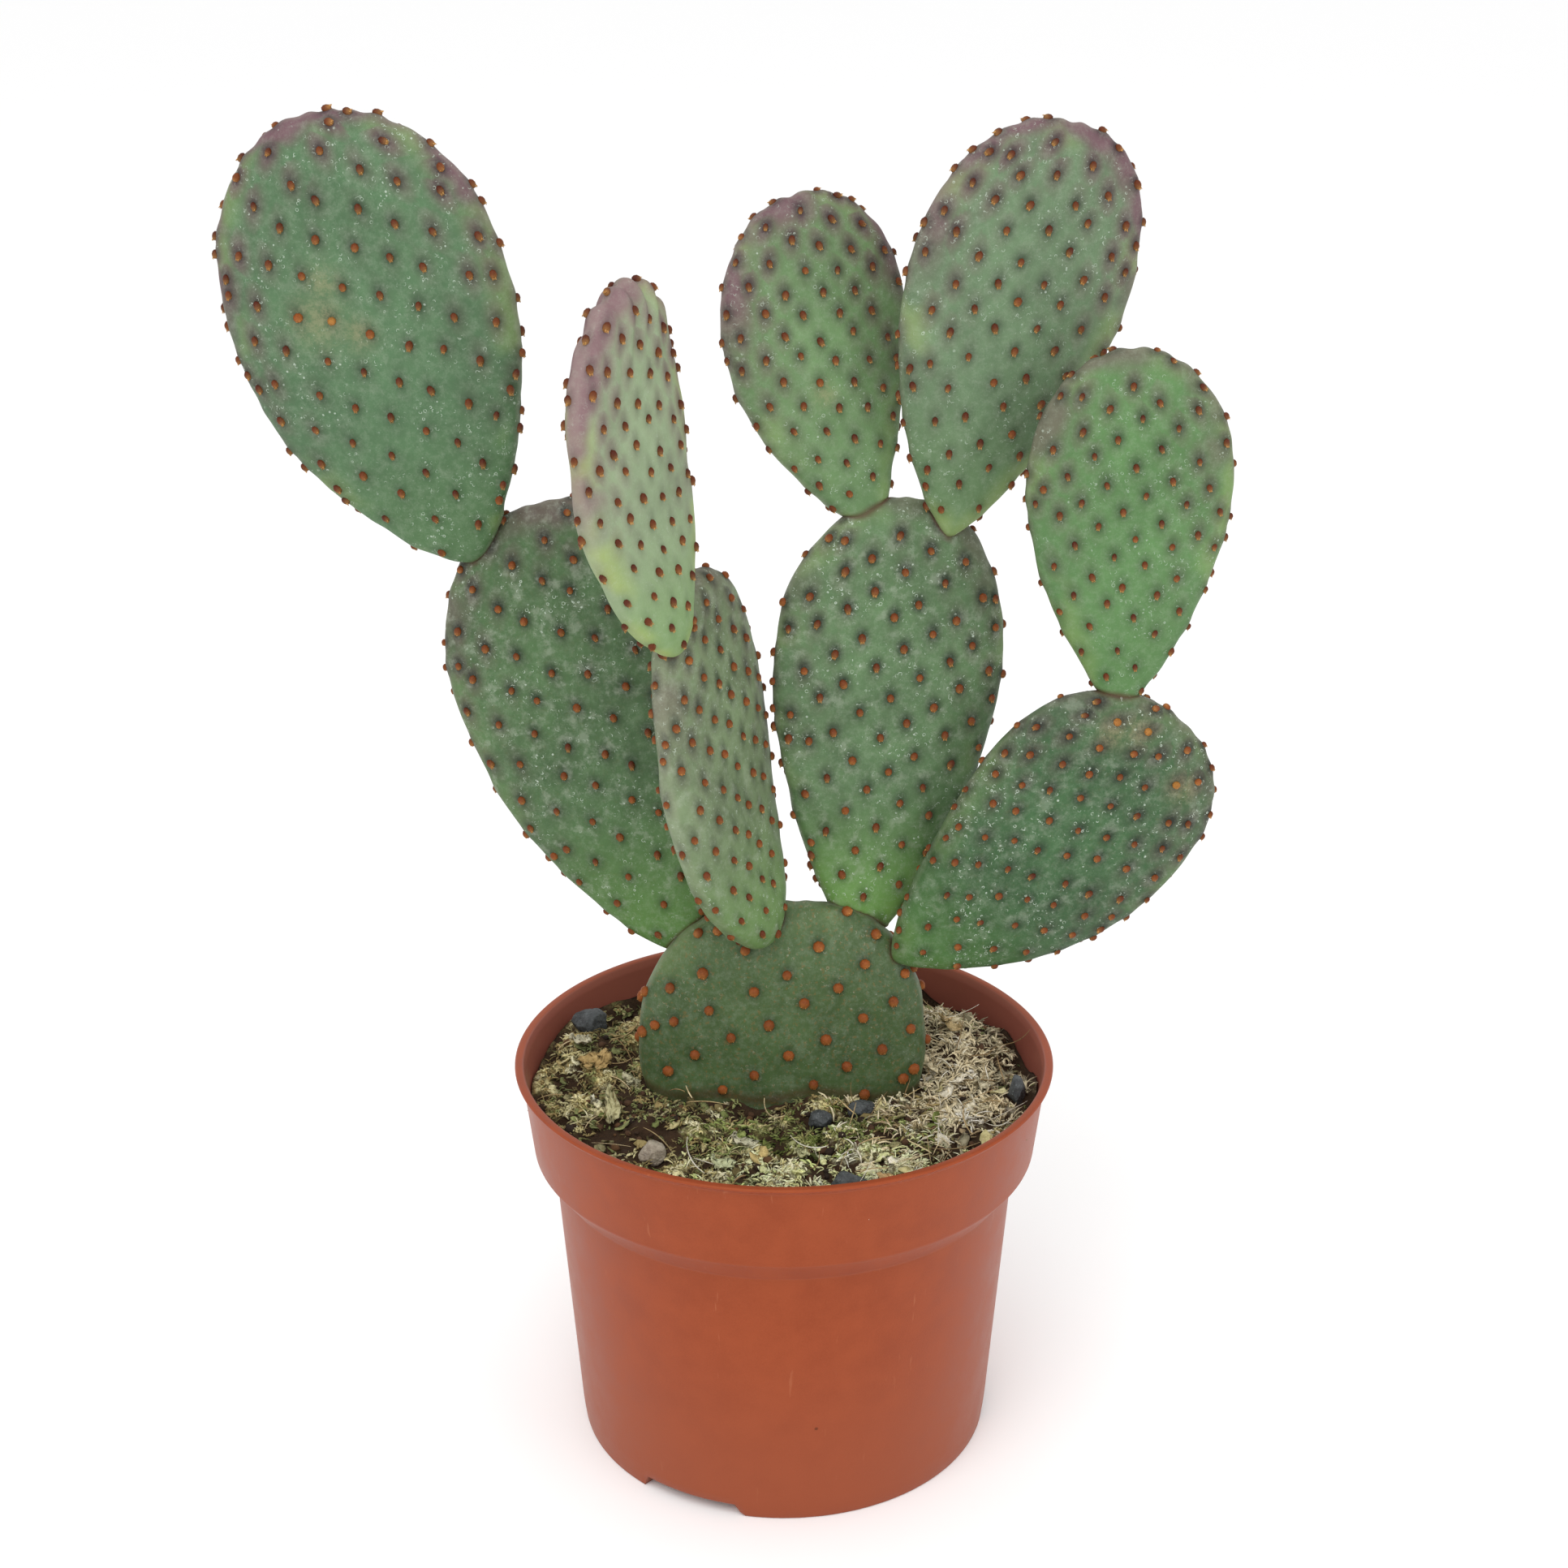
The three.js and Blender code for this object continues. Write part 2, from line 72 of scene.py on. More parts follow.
def table(columns, *rows):
    """Rows of values, each with the columns' names."""
    return [Sizes(**dict(zip(columns.split(), row))) for row in rows]


POT = Sizes(
    wall=1.1, rim_radius=65, rim_height=98.4, lip_depth=2, lip_overhang=1.7,
    collar_foot_radius=60.9, collar_foot_height=76.2, shoulder_radius=56, shoulder_height=70,
    foot_radius=50.7, rounding=0.5, steps=240,
)
POCKET = Sizes(
    count=3, first_azimuth=-116.7, half_width=14.5, inner_radius=38, height=3, hole_radius=2.2,
    hole_spread=7, slope=0.8,
)
# The soil's lumps are waves: height, waves across and deep in radians per mm, and shift. Its heaps
# are mounds or dips: place, height and spread.
SOIL = Sizes(
    level=90, rings=92, steps=400, underside=5, wall_gap=0.3,
    lumps=[(1.3, 0.13, 0.07, 0.4), (1.1, -0.09, 0.16, 2.1), (0.7, 0.27, -0.22, 4)],
    heaps=[(37, 15, 6, 14.5), (-44, 20, 3, 15), (-30, -44, -1.5, 12)],
)
# All pads: the power of their rounded sections, the neck's thickness as a share of the middle's,
# the length over which an end rounds off as a share of the thickness, and the mesh's divisions.
SECTION_POWER = 2.6
NECK_THICKNESS = 0.75
END_ROUNDING = 0.9
PAD_MESH = Sizes(round=168, along=170)
# The skin's relief in mm: unevenness as heights and wavelengths; furrows, which begin at a share
# of the length, and soft ribs, with pitches in radians per mm and a waviness.
UNEVEN = [(0.25, 26), (0.1, 8)]
FURROWS = Sizes(begin=0.72, pitch=1.15, wave=1.2, wavelength=14)
RIBS = Sizes(height=0.05, pitch=0.95, wave=1.3, wavelength=32)
# How far in mm the dark ring and the mauve streak of an areole reach, across and along the pad, and
# the corky line of a joint from the pad below and from a pad above.
RING_REACH = (1.75, 2.2)
TURNED_RING_REACH = (1.3, 2.9)
STREAK_REACH = (2.4, 5)
CORK_BELOW = 0.8
CORK_ABOVE = 0.6
# The base pad's dirt line: its height over the soil, its reach and its strength.
DIRT_LINE = (0.8, 1.5, 0.75)

# The skin by pad: its green, how far it strays to darker and lighter, how mauve its rim is and from
# which share of the length, how yellow its rim is, how fresh the green of its foot, how much chalk
# and rust it carries, how worn its areoles are, how dark the rings round them, and how many specks
# it has.
LOOKS = {row.name: row for row in table(
    "name green stray mauve rim_from yellow fresh chalk rust worn rings specks",
    ("base", "#435933", 0.16, 0, 0.5, 0.1, 0.1, 0.2, 0.8, 0.9, 0.8, 0.3),
    ("left_lower", "#43603a", 0.22, 0.6, 0.64, 0.1, 0.55, 0.7, 0.1, 0.42, 1.2, 1),
    ("left_upper", "#4a6948", 0.18, 0.95, 0.5, 0.3, 0.15, 0.25, 0, 0.15, 0.9, 0.9),
    ("turned_lower", "#687a58", 0.26, 0.45, 0.5, 0, 0.5, 0.5, 0, 0.42, 1, 0.8),
    ("turned_upper", "#879977", 0.12, 0.88, 0.3, 0.8, 0.5, 0.1, 0, 0.1, 0.42, 0.3),
    ("centre_lower", "#516d48", 0.22, 0.4, 0.62, 0.2, 1, 0.6, 0.05, 0.42, 1.35, 1),
    ("centre_left", "#607f52", 0.18, 0.95, 0.5, 0.3, 0, 0.15, 0, 0.15, 0.9, 0.7),
    ("centre_right", "#5e7757", 0.18, 0.95, 0.5, 0.5, 0.2, 0.2, 0, 0.15, 0.9, 0.8),
    ("right_lower", "#365834", 0.22, 0.5, 0.7, 0.15, 0.35, 0.5, 0.1, 0.42, 1.2, 1.2),
    ("right_upper", "#537947", 0.14, 0.6, 0.5, 0.3, 0.1, 0.1, 0, 0.2, 0.85, 0.6),
)}

# The pads, in mm and degrees: the pad that carries each, its foot, how it leans to the right, tilts
# back and is turned about its length; its length, width and thickness, how its outline narrows to
# foot and tip, and its bends; how many areoles lie on its spiral, which way that winds and where it
# starts; the bump under each areole, the depth of the furrows at the tip, and the tufts' size.
PADS = table(
    "name parent root lean tilt turn length width thickness taper tip bow sway cup "
    "areoles spiral start bump furrows tuft",
    ("base", None, (0, 0, 54), 2, 0, 0, 84.5, 69, 18, 0.55, 0.4,
     -2, 0.5, 0, 112, -1, 0.92, 0.1, 0.1, 1.25),
    ("left_lower", "base", (-22.5, 5, 122.5), -17, 5, 4, 114.5, 63.5, 11, 0.75, 0.4,
     -3, -0.5, 0, 160, 1, 0.19, 0.2, 0.1, 0.88),
    ("left_upper", "left_lower", (-71, 13, 218), -18.5, 1, 8, 105.5, 66.5, 10, 0.75, 0.5,
     -1.5, -1, 1, 150, 1, 0.6, 0.22, 0.22, 0.9),
    ("turned_lower", "base", (-4, -8.5, 131.5), -10.5, 1, -60, 91.5, 42, 10.5, 0.5, 0.4,
     -2.5, -1.5, -2, 160, 1, 0.83, 0.15, 0.1, 0.86),
    ("turned_upper", "turned_lower", (-24, -22, 207), -6.5, -2, -60, 83, 41, 9.5, 0.6, 0.45,
     -2, 0, -3, 142, -1, 0.61, 0.12, 0.6, 0.9),
    ("centre_lower", "base", (17.5, 4, 122), 5.5, 4, -10, 112.5, 54, 11, 0.95, 0.5,
     0, 0.5, 0, 160, -1, 0.72, 0.22, 0.1, 0.9),
    ("centre_left", "centre_lower", (22, 11, 224.5), -14.5, 5, -22, 79, 44, 9, 0.95, 0.5,
     -3.5, -1, -1, 128, -1, 0, 0.22, 0.22, 0.82),
    ("centre_right", "centre_lower", (37, 10, 225), 15.5, 0, -15, 95.5, 51.5, 9, 0.8, 0.45,
     -1.5, 0, 0, 142, 1, 0.61, 0.25, 0.22, 0.86),
    ("right_lower", "base", (25.5, -3.5, 125), 47.5, -2, -5, 89.5, 54.5, 11, 0.8, 0.45,
     2.5, 1.5, 0, 160, -1, 0.78, 0.2, 0.1, 0.78),
    ("right_upper", "right_lower", (75.5, -6, 186), 0, 0, -2, 86, 45.5, 8.5, 1, 0.55,
     0.5, 0, 0, 132, -1, 0.63, 0.22, 0.22, 0.75),
)
PAD_BY_NAME = {pad.name: pad for pad in PADS}
# The spiral's turn from one areole to the next; the rim row's spacing in mm and its turns to front
# and back in degrees; how far areoles stray along the pad in mm and round it in turns; how far they
# stay clear of other pads and of the soil in mm; and how worn a tuft is when its brush is short.
GOLDEN_TURN = 0.381966
RIM_SPACING = 5.6
RIM_TURNS = (7, 31, -7, -31)
STRAY = (0.55, 0.0045)
CLEAR_OF_PADS = 1.4
CLEAR_OF_SOIL = 0.4
WORN_FROM = 0.35
# What the skin's finish reads: masks that each pad's mesh carries, and values from its looks.
SKIN_MASKS = ("Halo", "Streak", "Seam", "Share", "Edge", "Blemish")
SKIN_LOOKS = ("Mauve", "Rim From", "Yellow", "Fresh", "Chalk", "Rust", "Rings", "Specks")

# Blemishes: share of the pad's length, angle round its section, where 90 is the middle of the front
# face, and radius in mm. The skin is brown there and the areoles are worn to gold.
BLEMISHES = {
    "left_upper": [(0.60, 108, 5.5), (0.67, 102, 3.5), (0.55, 95, 3.5)],
    "right_lower": [(0.86, 120, 3.5), (0.91, 114, 3.5), (0.89, 63, 3.5)],
    "centre_left": [(0.45, 96, 2.5)],
}


STONES = table(
    "name at size turn",
    ("lava_stone_back_left", (-49, 26), (4.6, 3.8, 3.6), 20),
    ("lava_stone_by_pad_right", (18.5, -15), (3.4, 2.6, 2.4), 10),
    ("lava_stone_by_pad_middle", (8.5, -17.5), (2.8, 3, 2.2), 70),
    ("lava_stone_front", (14.5, -45.5), (4.4, 2.6, 2.6), -8),
    ("lava_stone_right", (55.5, -10.5), (2, 3.4, 3.8), 12),
    ("pale_pebble", (-30.5, -34), (3.2, 2.8, 3), 35),
)

# ---------------------------------------------------------------- general helpers


def linear(code):
    """A colour written as #rrggbb, as the linear values that shaders take."""
    parts = [int(code[i:i + 2], 16) / 255 for i in (1, 3, 5)]
    return tuple(p / 12.92 if p <= 0.04045 else ((p + 0.055) / 1.055) ** 2.4 for p in parts) + (1,)


def smooth_step(low, high, value):
    part = np.clip((value - low) / (high - low), 0, 1)
    return part * part * (3 - 2 * part)


def waves(points, wavelength, seed, count=9):
    """Soft unevenness from -1 to 1: a sum of waves in seeded directions, for points in mm."""
    draw = np.random.default_rng(seed)
    total = np.zeros(len(points))
    for _ in range(count):
        direction = draw.normal(size=3)
        length = wavelength * draw.uniform(0.7, 1.4)
        direction *= FULL_TURN / (length * np.linalg.norm(direction))
        total += np.sin(points @ direction + draw.uniform(0, FULL_TURN))
    return total / math.sqrt(count)


def mesh_points(mesh, kind="co"):
    """The places of a mesh's corners, or with the kind "normal" their outward directions."""
    values = np.empty(len(mesh.vertices) * 3)
    mesh.vertices.foreach_get(kind, values)
    return values.reshape(-1, 3)


def place_points(mesh, points):
    mesh.vertices.foreach_set("co", np.ascontiguousarray(points, float).ravel())
    mesh.update()


def store(mesh, name, values):
    """Keeps one number for each vertex, for the materials to read."""
    layer = mesh.attributes.new(name, "FLOAT", "POINT")
    layer.data.foreach_set("value", np.ascontiguousarray(values, np.float32))


def store_tint(mesh, colours):
    layer = mesh.color_attributes.new("tint", "FLOAT_COLOR", "POINT")
    layer.data.foreach_set("color", np.ascontiguousarray(colours, np.float32).ravel())


def mesh_from(form, name):
    """Turns a finished bmesh into a mesh with every face pointing outwards."""
    bmesh.ops.recalc_face_normals(form, faces=form.faces)
    mesh = bpy.data.meshes.new(name)
    form.to_mesh(mesh)
    form.free()
    return mesh


def add_piece(name, mesh, materials, replaced):
    """Adds a finished mesh, in mm, as a piece of the plant."""
    mesh.transform(Matrix.Scale(MM, 4))
    mesh.shade_smooth()
    for material in materials:
        mesh.materials.append(material)
    piece = bpy.data.objects.new(name, mesh)
    bpy.context.scene.collection.objects.link(piece)
    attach(piece, "root")
    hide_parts(*replaced)


# ---------------------------------------------------------------- pad form


def pad_axes(pad):
    """Along the pad, across it to the right, and out of its front face."""
    lean, tilt, turn = (math.radians(value) for value in (pad.lean, pad.tilt, pad.turn))
    level = math.cos(tilt)
    along = Vector((math.sin(lean) * level, math.sin(tilt), math.cos(lean) * level))
    front = Vector((0, -1, 0))
    front = (front - along * front.dot(along)).normalized()
    across = along.cross(front) * math.cos(turn) + front * math.sin(turn)
    return np.array(along), np.array(across), np.array(across.cross(along))


def half_width(pad, share):
    widest = pad.taper / (pad.taper + pad.tip)
    rise = (share / widest) ** pad.taper
    return pad.width / 2 * rise * ((1 - share) / (1 - widest)) ** pad.tip


def half_thickness(pad, share):
    body = NECK_THICKNESS + (1 - NECK_THICKNESS) * np.sin(np.pi * share)
    for distance in (share * pad.length, (1 - share) * pad.length):
        inside = np.minimum(distance / (END_ROUNDING * pad.thickness), 1)
        body = body * np.sqrt(1 - (1 - inside) ** 2)
    return pad.thickness / 2 * body


def midline(pad, share):
    """The midline's shift, sideways and out of the face."""
    arch = 4 * share * (1 - share)
    return pad.bow * arch + pad.sway * np.sin(2 * np.pi * share), pad.cup * arch


def skin_points(pad, share, angle):
    """Points of the smooth skin at shares of the length and angles round the section."""
    along, across, face = pad_axes(pad)
    share = np.clip(share, 1e-6, 1 - 1e-6)
    c, s = np.cos(angle), np.sin(angle)
    reach = (np.abs(c) ** SECTION_POWER + np.abs(s) ** SECTION_POWER) ** (-1 / SECTION_POWER)
    side, out = midline(pad, share)
    side = side + half_width(pad, share) * reach * c
    out = out + half_thickness(pad, share) * reach * s
    return np.array(pad.root) + np.outer(share * pad.length, along) \
        + np.outer(side, across) + np.outer(out, face)


def distance_to_pad(pad, points):
    """About how far points lie outside the pad's smooth skin, in mm, below zero inside it."""
    along, across, face = pad_axes(pad)
    offset = points - np.array(pad.root)
    height = offset @ along
    share = np.clip(height / pad.length, 0.002, 0.998)
    side, out = midline(pad, share)
    wide, thick = half_width(pad, share), half_thickness(pad, share)
    x = np.abs(offset @ across - side) / wide
    y = np.abs(offset @ face - out) / thick
    reach = np.maximum((x ** SECTION_POWER + y ** SECTION_POWER) ** (1 / SECTION_POWER), 1e-6)
    slope = np.hypot(x ** (SECTION_POWER - 1) / wide, y ** (SECTION_POWER - 1) / thick)
    slope = np.maximum(slope * reach ** (1 - SECTION_POWER), 1e-6)
    beyond = np.maximum(np.maximum(-height, height - pad.length), 0)
    return np.maximum((reach - 1) / slope, beyond)


def measured_rings(pad, ring_count=160, steps=360):
    """The skin measured ring by ring: arc length round each, and the area below it."""
    shares = np.linspace(0, 1, ring_count + 1)
    angles = np.linspace(0, FULL_TURN, steps + 1)
    arcs = []
    for share in shares:
        ring = skin_points(pad, np.full(steps + 1, share), angles)
        lengths = np.linalg.norm(np.diff(ring, axis=0), axis=1)
        arcs.append(np.concatenate([[0], np.cumsum(lengths)]))
    arcs = np.array(arcs)
    area = np.concatenate([[0], np.cumsum(arcs[1:, -1] + arcs[:-1, -1])])
    return {"shares": shares, "angles": angles, "turns": arcs / np.maximum(arcs[:, -1:], 1e-9),
            "area": area / area[-1]}


def angles_at(rings, share, turns):
    """The section angles that lie the given shares of the way round one ring."""
    place = min(max(share, 0), 1) * (len(rings["shares"]) - 1)
    below = min(int(place), len(rings["shares"]) - 2)
    part = place - below
    row = rings["turns"][below] * (1 - part) + rings["turns"][below + 1] * part
    return np.interp(turns, row, rings["angles"])


# ---------------------------------------------------------------- areoles on a pad


def rim_spots(pad):
    """Shares and angles of the row of areoles along the rim, by turns before and behind it."""
    draw = random.Random(200 + PADS.index(pad))
    steps = np.linspace(0.06, 0.998, 500)
    shares, angles = [], []
    for side in (0, math.pi):
        line = skin_points(pad, steps, np.full(len(steps), side))
        run = np.concatenate([[0], np.cumsum(np.linalg.norm(np.diff(line, axis=0), axis=1))])
        place, i = run[-1] - 0.5 * RIM_SPACING, 0
        while place > 0:
            shares.append(np.interp(place, run, steps))
            angles.append(side + math.radians(RIM_TURNS[i % 4] + draw.uniform(-4, 4)))
            place -= RIM_SPACING * (1 + 0.3 * (1 - place / run[-1]) + draw.uniform(-0.15, 0.15))
            i += 1
    return np.array(shares), np.array(angles)


def areole_spots(pad, rings):
    """Share of the length and section angle of each areole: a row along the rim, and one spiral
    that is even over the skin wherever the rim's row is not close."""
    index = np.arange(pad.areoles)
    stray = np.random.default_rng(300 + PADS.index(pad)).normal(size=(2, pad.areoles))
    shares = np.interp((index + 0.5) / pad.areoles, rings["area"], rings["shares"])
    shares = np.clip(shares + STRAY[0] * stray[0] / pad.length, 0.001, 0.999)
    turns = pad.start + pad.spiral * index * GOLDEN_TURN + STRAY[1] * stray[1]
    turns = np.mod(turns, 1)
    angles = np.array([angles_at(rings, s, t) for s, t in zip(shares, turns)])
    rim_shares, rim_angles = rim_spots(pad)
    rim = skin_points(pad, rim_shares, rim_angles)
    apart = np.array([np.linalg.norm(rim - spot, axis=1).min() > 0.6 * RIM_SPACING
                      for spot in skin_points(pad, shares, angles)])
    return np.append(shares[apart], rim_shares), np.append(angles[apart], rim_angles)


def skin_frame(pad, shares, angles):
    """Points with their outward, upward and sideways directions."""
    step = 0.004
    points = skin_points(pad, shares, angles)
    up = skin_points(pad, np.minimum(shares + step, 0.999), angles)
    up = up - skin_points(pad, np.maximum(shares - step, 0.001), angles)
    round_skin = skin_points(pad, shares, angles + step) - skin_points(pad, shares, angles - step)
    out = np.cross(up, round_skin)
    out /= np.linalg.norm(out, axis=1, keepdims=True)
    up -= out * np.sum(up * out, axis=1, keepdims=True)
    up /= np.linalg.norm(up, axis=1, keepdims=True)
    return points, out, up, np.cross(up, out)


def areole_dome():
    """The felt dome of one areole, in mm, standing on the skin."""
    form = bmesh.new()
    bmesh.ops.create_uvsphere(form, u_segments=8, v_segments=5, radius=1)
    bmesh.ops.scale(form, vec=(0.88, 1.28, 0.92), verts=form.verts)
    bmesh.ops.translate(form, vec=(0, 0, 0.12), verts=form.verts)
    return mesh_from(form, "areole_dome")


def areole_brush(reach):
    """The short bristles that lie on a dome's lower half and point down."""
    form = bmesh.new()
    draw = random.Random(7)
    for i in range(4):
        bristle = bmesh.ops.create_cone(form, cap_ends=True, segments=3, radius1=0.2, radius2=0.05,
                                        depth=1.1 * reach)["verts"]
        sideways = (i - 1.5) * 0.26
        hang = Matrix.Rotation(math.radians(90 + draw.uniform(-16, 16)), 4, "X")
        fan = Matrix.Rotation(sideways * 0.5, 4, "Z")
        seat = Matrix.Translation((sideways * 0.8, -0.4 - 0.6 * reach,
                                   0.72 + draw.uniform(-0.12, 0.12)))
        bmesh.ops.transform(form, matrix=seat @ fan @ hang, verts=bristle)
    return mesh_from(form, "areole_brush")


def joined(meshes, name):
    """The meshes as one, with their corners in the same order."""
    form = bmesh.new()
    for mesh in meshes:
        form.from_mesh(mesh)
    whole = bpy.data.meshes.new(name)
    form.to_mesh(whole)
    form.free()
    return whole


# An unworn tuft has a longer brush. Both brushes have the same corners in the same order.
DOME = areole_dome()
TUFT = joined([DOME, areole_brush(0.85)], "tuft_template")
WORN_TUFT = joined([DOME, areole_brush(0.5)], "worn_tuft_template")
TUFT_POINTS = mesh_points(TUFT)


def relief(pad, points, halo):
    """How far the skin stands out: soft unevenness, a bump at each areole, furrows at the tip."""
    seed = PADS.index(pad) * 10
    along, across, _ = pad_axes(pad)
    offset = points - np.array(pad.root)
    uneven = sum(height * waves(points, wavelength, seed + i)
                 for i, (height, wavelength) in enumerate(UNEVEN))
    at_tip = smooth_step(FURROWS.begin, 1.0, offset @ along / pad.length)
    furrows = np.sin(offset @ across * FURROWS.pitch
                     + FURROWS.wave * waves(points, FURROWS.wavelength, seed + 2))
    ribs = np.sin(offset @ across * RIBS.pitch
                  + RIBS.wave * waves(points, RIBS.wavelength, seed + 3))
    ribs = RIBS.height * ribs if pad.parent else 0
    return uneven + pad.bump * halo + pad.furrows * at_tip * furrows + ribs


def build_pad(pad, skin, felt):
    rings = measured_rings(pad)
    shares, angles = areole_spots(pad, rings)
    spots, out, up, aside = skin_frame(pad, shares, angles)

    form = bmesh.new()
    bmesh.ops.create_uvsphere(form, u_segments=PAD_MESH.round, v_segments=PAD_MESH.along,
                              radius=1)
    body = mesh_from(form, "pad_body")
    ball = mesh_points(body)
    share = np.clip((1 + ball[:, 2]) / 2, 0, 1)
    turn = np.mod(-np.arctan2(ball[:, 1], ball[:, 0]) / FULL_TURN, 1)
    angle = np.zeros(len(ball))
    levels, level_of = np.unique(np.round(share, 6), return_inverse=True)
    for i, level in enumerate(levels):
        chosen = level_of == i
        angle[chosen] = angles_at(rings, level, turn[chosen])
    points = skin_points(pad, share, angle)
    place_points(body, points)
    normals = mesh_points(body, "normal")

    tree = kdtree.KDTree(len(spots))
    for i, spot in enumerate(spots):
        tree.insert(Vector(spot), i)
    tree.balance()
    nearest = np.array([tree.find(Vector(point))[1] for point in points])
    offset = points - spots[nearest]
    upwards = np.sum(offset * up[nearest], axis=1)
    sideways = np.sqrt(np.maximum(np.sum(offset * offset, axis=1) - upwards ** 2, 0))
    wide, long = TURNED_RING_REACH if "turned" in pad.name else RING_REACH
    halo = np.exp(-np.hypot(sideways / wide, (upwards - 0.35) / long) ** 2.6)
    streak = np.exp(-(sideways / STREAK_REACH[0]) ** 2 - (upwards / STREAK_REACH[1]) ** 2)

    if pad.parent:
        gap = distance_to_pad(PAD_BY_NAME[pad.parent], points)
        seam = np.exp(-(np.maximum(gap, 0) / CORK_BELOW) ** 2)
    else:
        above = points[:, 2] - np.array([soil_height(x, y) for x, y, _ in points])
        height, reach, strength = DIRT_LINE
        seam = strength * np.exp(-((above - height) / reach) ** 2)
    for child in PADS:
        if child.parent == pad.name:
            gap = distance_to_pad(child, points)
            seam = np.maximum(seam, np.exp(-(np.maximum(gap, 0) / CORK_ABOVE) ** 2))

    blemish, spot_blemish = np.zeros(len(points)), np.zeros(len(spots))
    for at_share, at_angle, radius in BLEMISHES.get(pad.name, []):
        middle = skin_points(pad, np.array([at_share]), np.radians([at_angle]))
        for places, values in ((points, blemish), (spots, spot_blemish)):
            away = np.linalg.norm(places - middle, axis=1)
            np.maximum(values, np.exp(-(away / radius) ** 2), out=values)

    across = pad_axes(pad)[1]
    side = np.abs((points - np.array(pad.root)) @ across - midline(pad, share)[0])
    edge = np.minimum(half_width(pad, np.clip(share, 0.001, 0.999)) - side,
                      (1 - share) * pad.length)
    place_points(body, points + normals * relief(pad, points, halo)[:, None])

    others = [other for other in PADS if other is not pad]
    kept = []
    for i, spot in enumerate(spots):
        soil_line = soil_height(spot[0], spot[1]) + CLEAR_OF_SOIL
        buried = not pad.parent and spot[2] < soil_line
        clear = all(distance_to_pad(other, spot[None, :])[0] > CLEAR_OF_PADS for other in others)
        if clear and not buried:
            kept.append(i)
    raise_by = relief(pad, spots, np.ones(len(spots)))
    draw = random.Random(100 + PADS.index(pad))

    tufts, wear = [], []
    for i in kept:
        size = pad.tuft * draw.uniform(0.86, 1.1)
        swing = draw.uniform(-0.35, 0.35)
        worn = LOOKS[pad.name].worn + 1.4 * spot_blemish[i]
        wear.append(min(max(draw.gauss(worn, 0.15), 0), 1) + 0.5 * spot_blemish[i])
        frame_of_tuft = Matrix((aside[i], up[i], out[i])).transposed().to_4x4()
        seat = Matrix.Translation(Vector(spots[i] + out[i] * raise_by[i]))
        flat = min(wear[-1], 1)
        spread = Matrix.Diagonal((size * (1 + 0.36 * flat), size * (1 - 0.1 * flat), size, 1))
        tufts.append((WORN_TUFT if wear[-1] > WORN_FROM else TUFT).copy())
        tufts[-1].transform(seat @ frame_of_tuft @ Matrix.Rotation(swing, 4, "Z") @ spread)
    mesh = joined([body] + tufts, "pad_" + pad.name)

    blank = np.zeros(len(tufts) * len(TUFT_POINTS))
    for name, values in zip(SKIN_MASKS, (halo, streak, seam, share, edge, blemish)):
        store(mesh, name.lower(), np.concatenate([values, blank]))
    glow = np.where(np.arange(len(TUFT_POINTS)) < len(DOME.vertices),
                    0.34 * smooth_step(0.5, -0.9, TUFT_POINTS[:, 1]), 1)
    blank = np.zeros(len(points))
    store(mesh, "glow", np.concatenate([blank, np.tile(glow, len(tufts))]))
    store(mesh, "wear", np.concatenate([blank, np.repeat(wear, len(TUFT_POINTS))]))
    slots = [0] * len(body.polygons) + [1] * len(tufts) * len(TUFT.polygons)
    mesh.polygons.foreach_set("material_index", slots)
    bpy.data.batch_remove([body] + tufts)
    node = pad.name + "_pad"
    add_piece("cactus_" + node, mesh, [skin, felt], [node])


# ---------------------------------------------------------------- shader building


def feed(tree, socket, value):
    """Links a node's output into a socket, or sets the socket to a number, #rrggbb or colour."""
    if isinstance(value, bpy.types.NodeSocket):
        tree.links.new(value, socket)
    else:
        socket.default_value = linear(value) if isinstance(value, str) else value


def add_node(tree, kind, inputs, **settings):
    made = tree.nodes.new(kind)
    for name, value in settings.items():
        setattr(made, name, value)
    for name, value in inputs.items():
        feed(tree, made.inputs[name], value)
    return made


def mix(tree, factor, low, high, blend="MIX"):
    return add_node(tree, "ShaderNodeMix", {0: factor, 6: low, 7: high}, data_type="RGBA",
                    blend_type=blend).outputs[2]


def layered(tree, colour, tints, masks):
    """The colour with one named tint after another laid over it where its mask says."""
    for name, mask in masks.items():
        colour = mix(tree, mask, colour, tints[name])
    return colour


def blend_values(tree, factor, low, high):
    return add_node(tree, "ShaderNodeMix", {0: factor, 2: low, 3: high}).outputs[0]


def math_node(tree, operation, first, second, clamp=False):
    return add_node(tree, "ShaderNodeMath", {0: first, 1: second}, operation=operation,
                    use_clamp=clamp).outputs[0]


def times(tree, first, second, clamp=False):
    return math_node(tree, "MULTIPLY", first, second, clamp)


def ranged(tree, value, low, high, to_low=0.0, to_high=1.0):
    """A smooth step of the value between low and high, from to_low to to_high."""
    return add_node(tree, "ShaderNodeMapRange", {
        "Value": value, "From Min": low, "From Max": high, "To Min": to_low, "To Max": to_high,
    }, interpolation_type="SMOOTHSTEP").outputs[0]


def cloud(tree, place, scale, detail=2.0, roughness=0.5):
    return add_node(tree, "ShaderNodeTexNoise", {
        "Vector": place, "Scale": scale, "Detail": detail, "Roughness": roughness,
    }).outputs["Fac"]


def attribute(tree, name, output="Fac"):
    return add_node(tree, "ShaderNodeAttribute", {}, attribute_name=name).outputs[output]


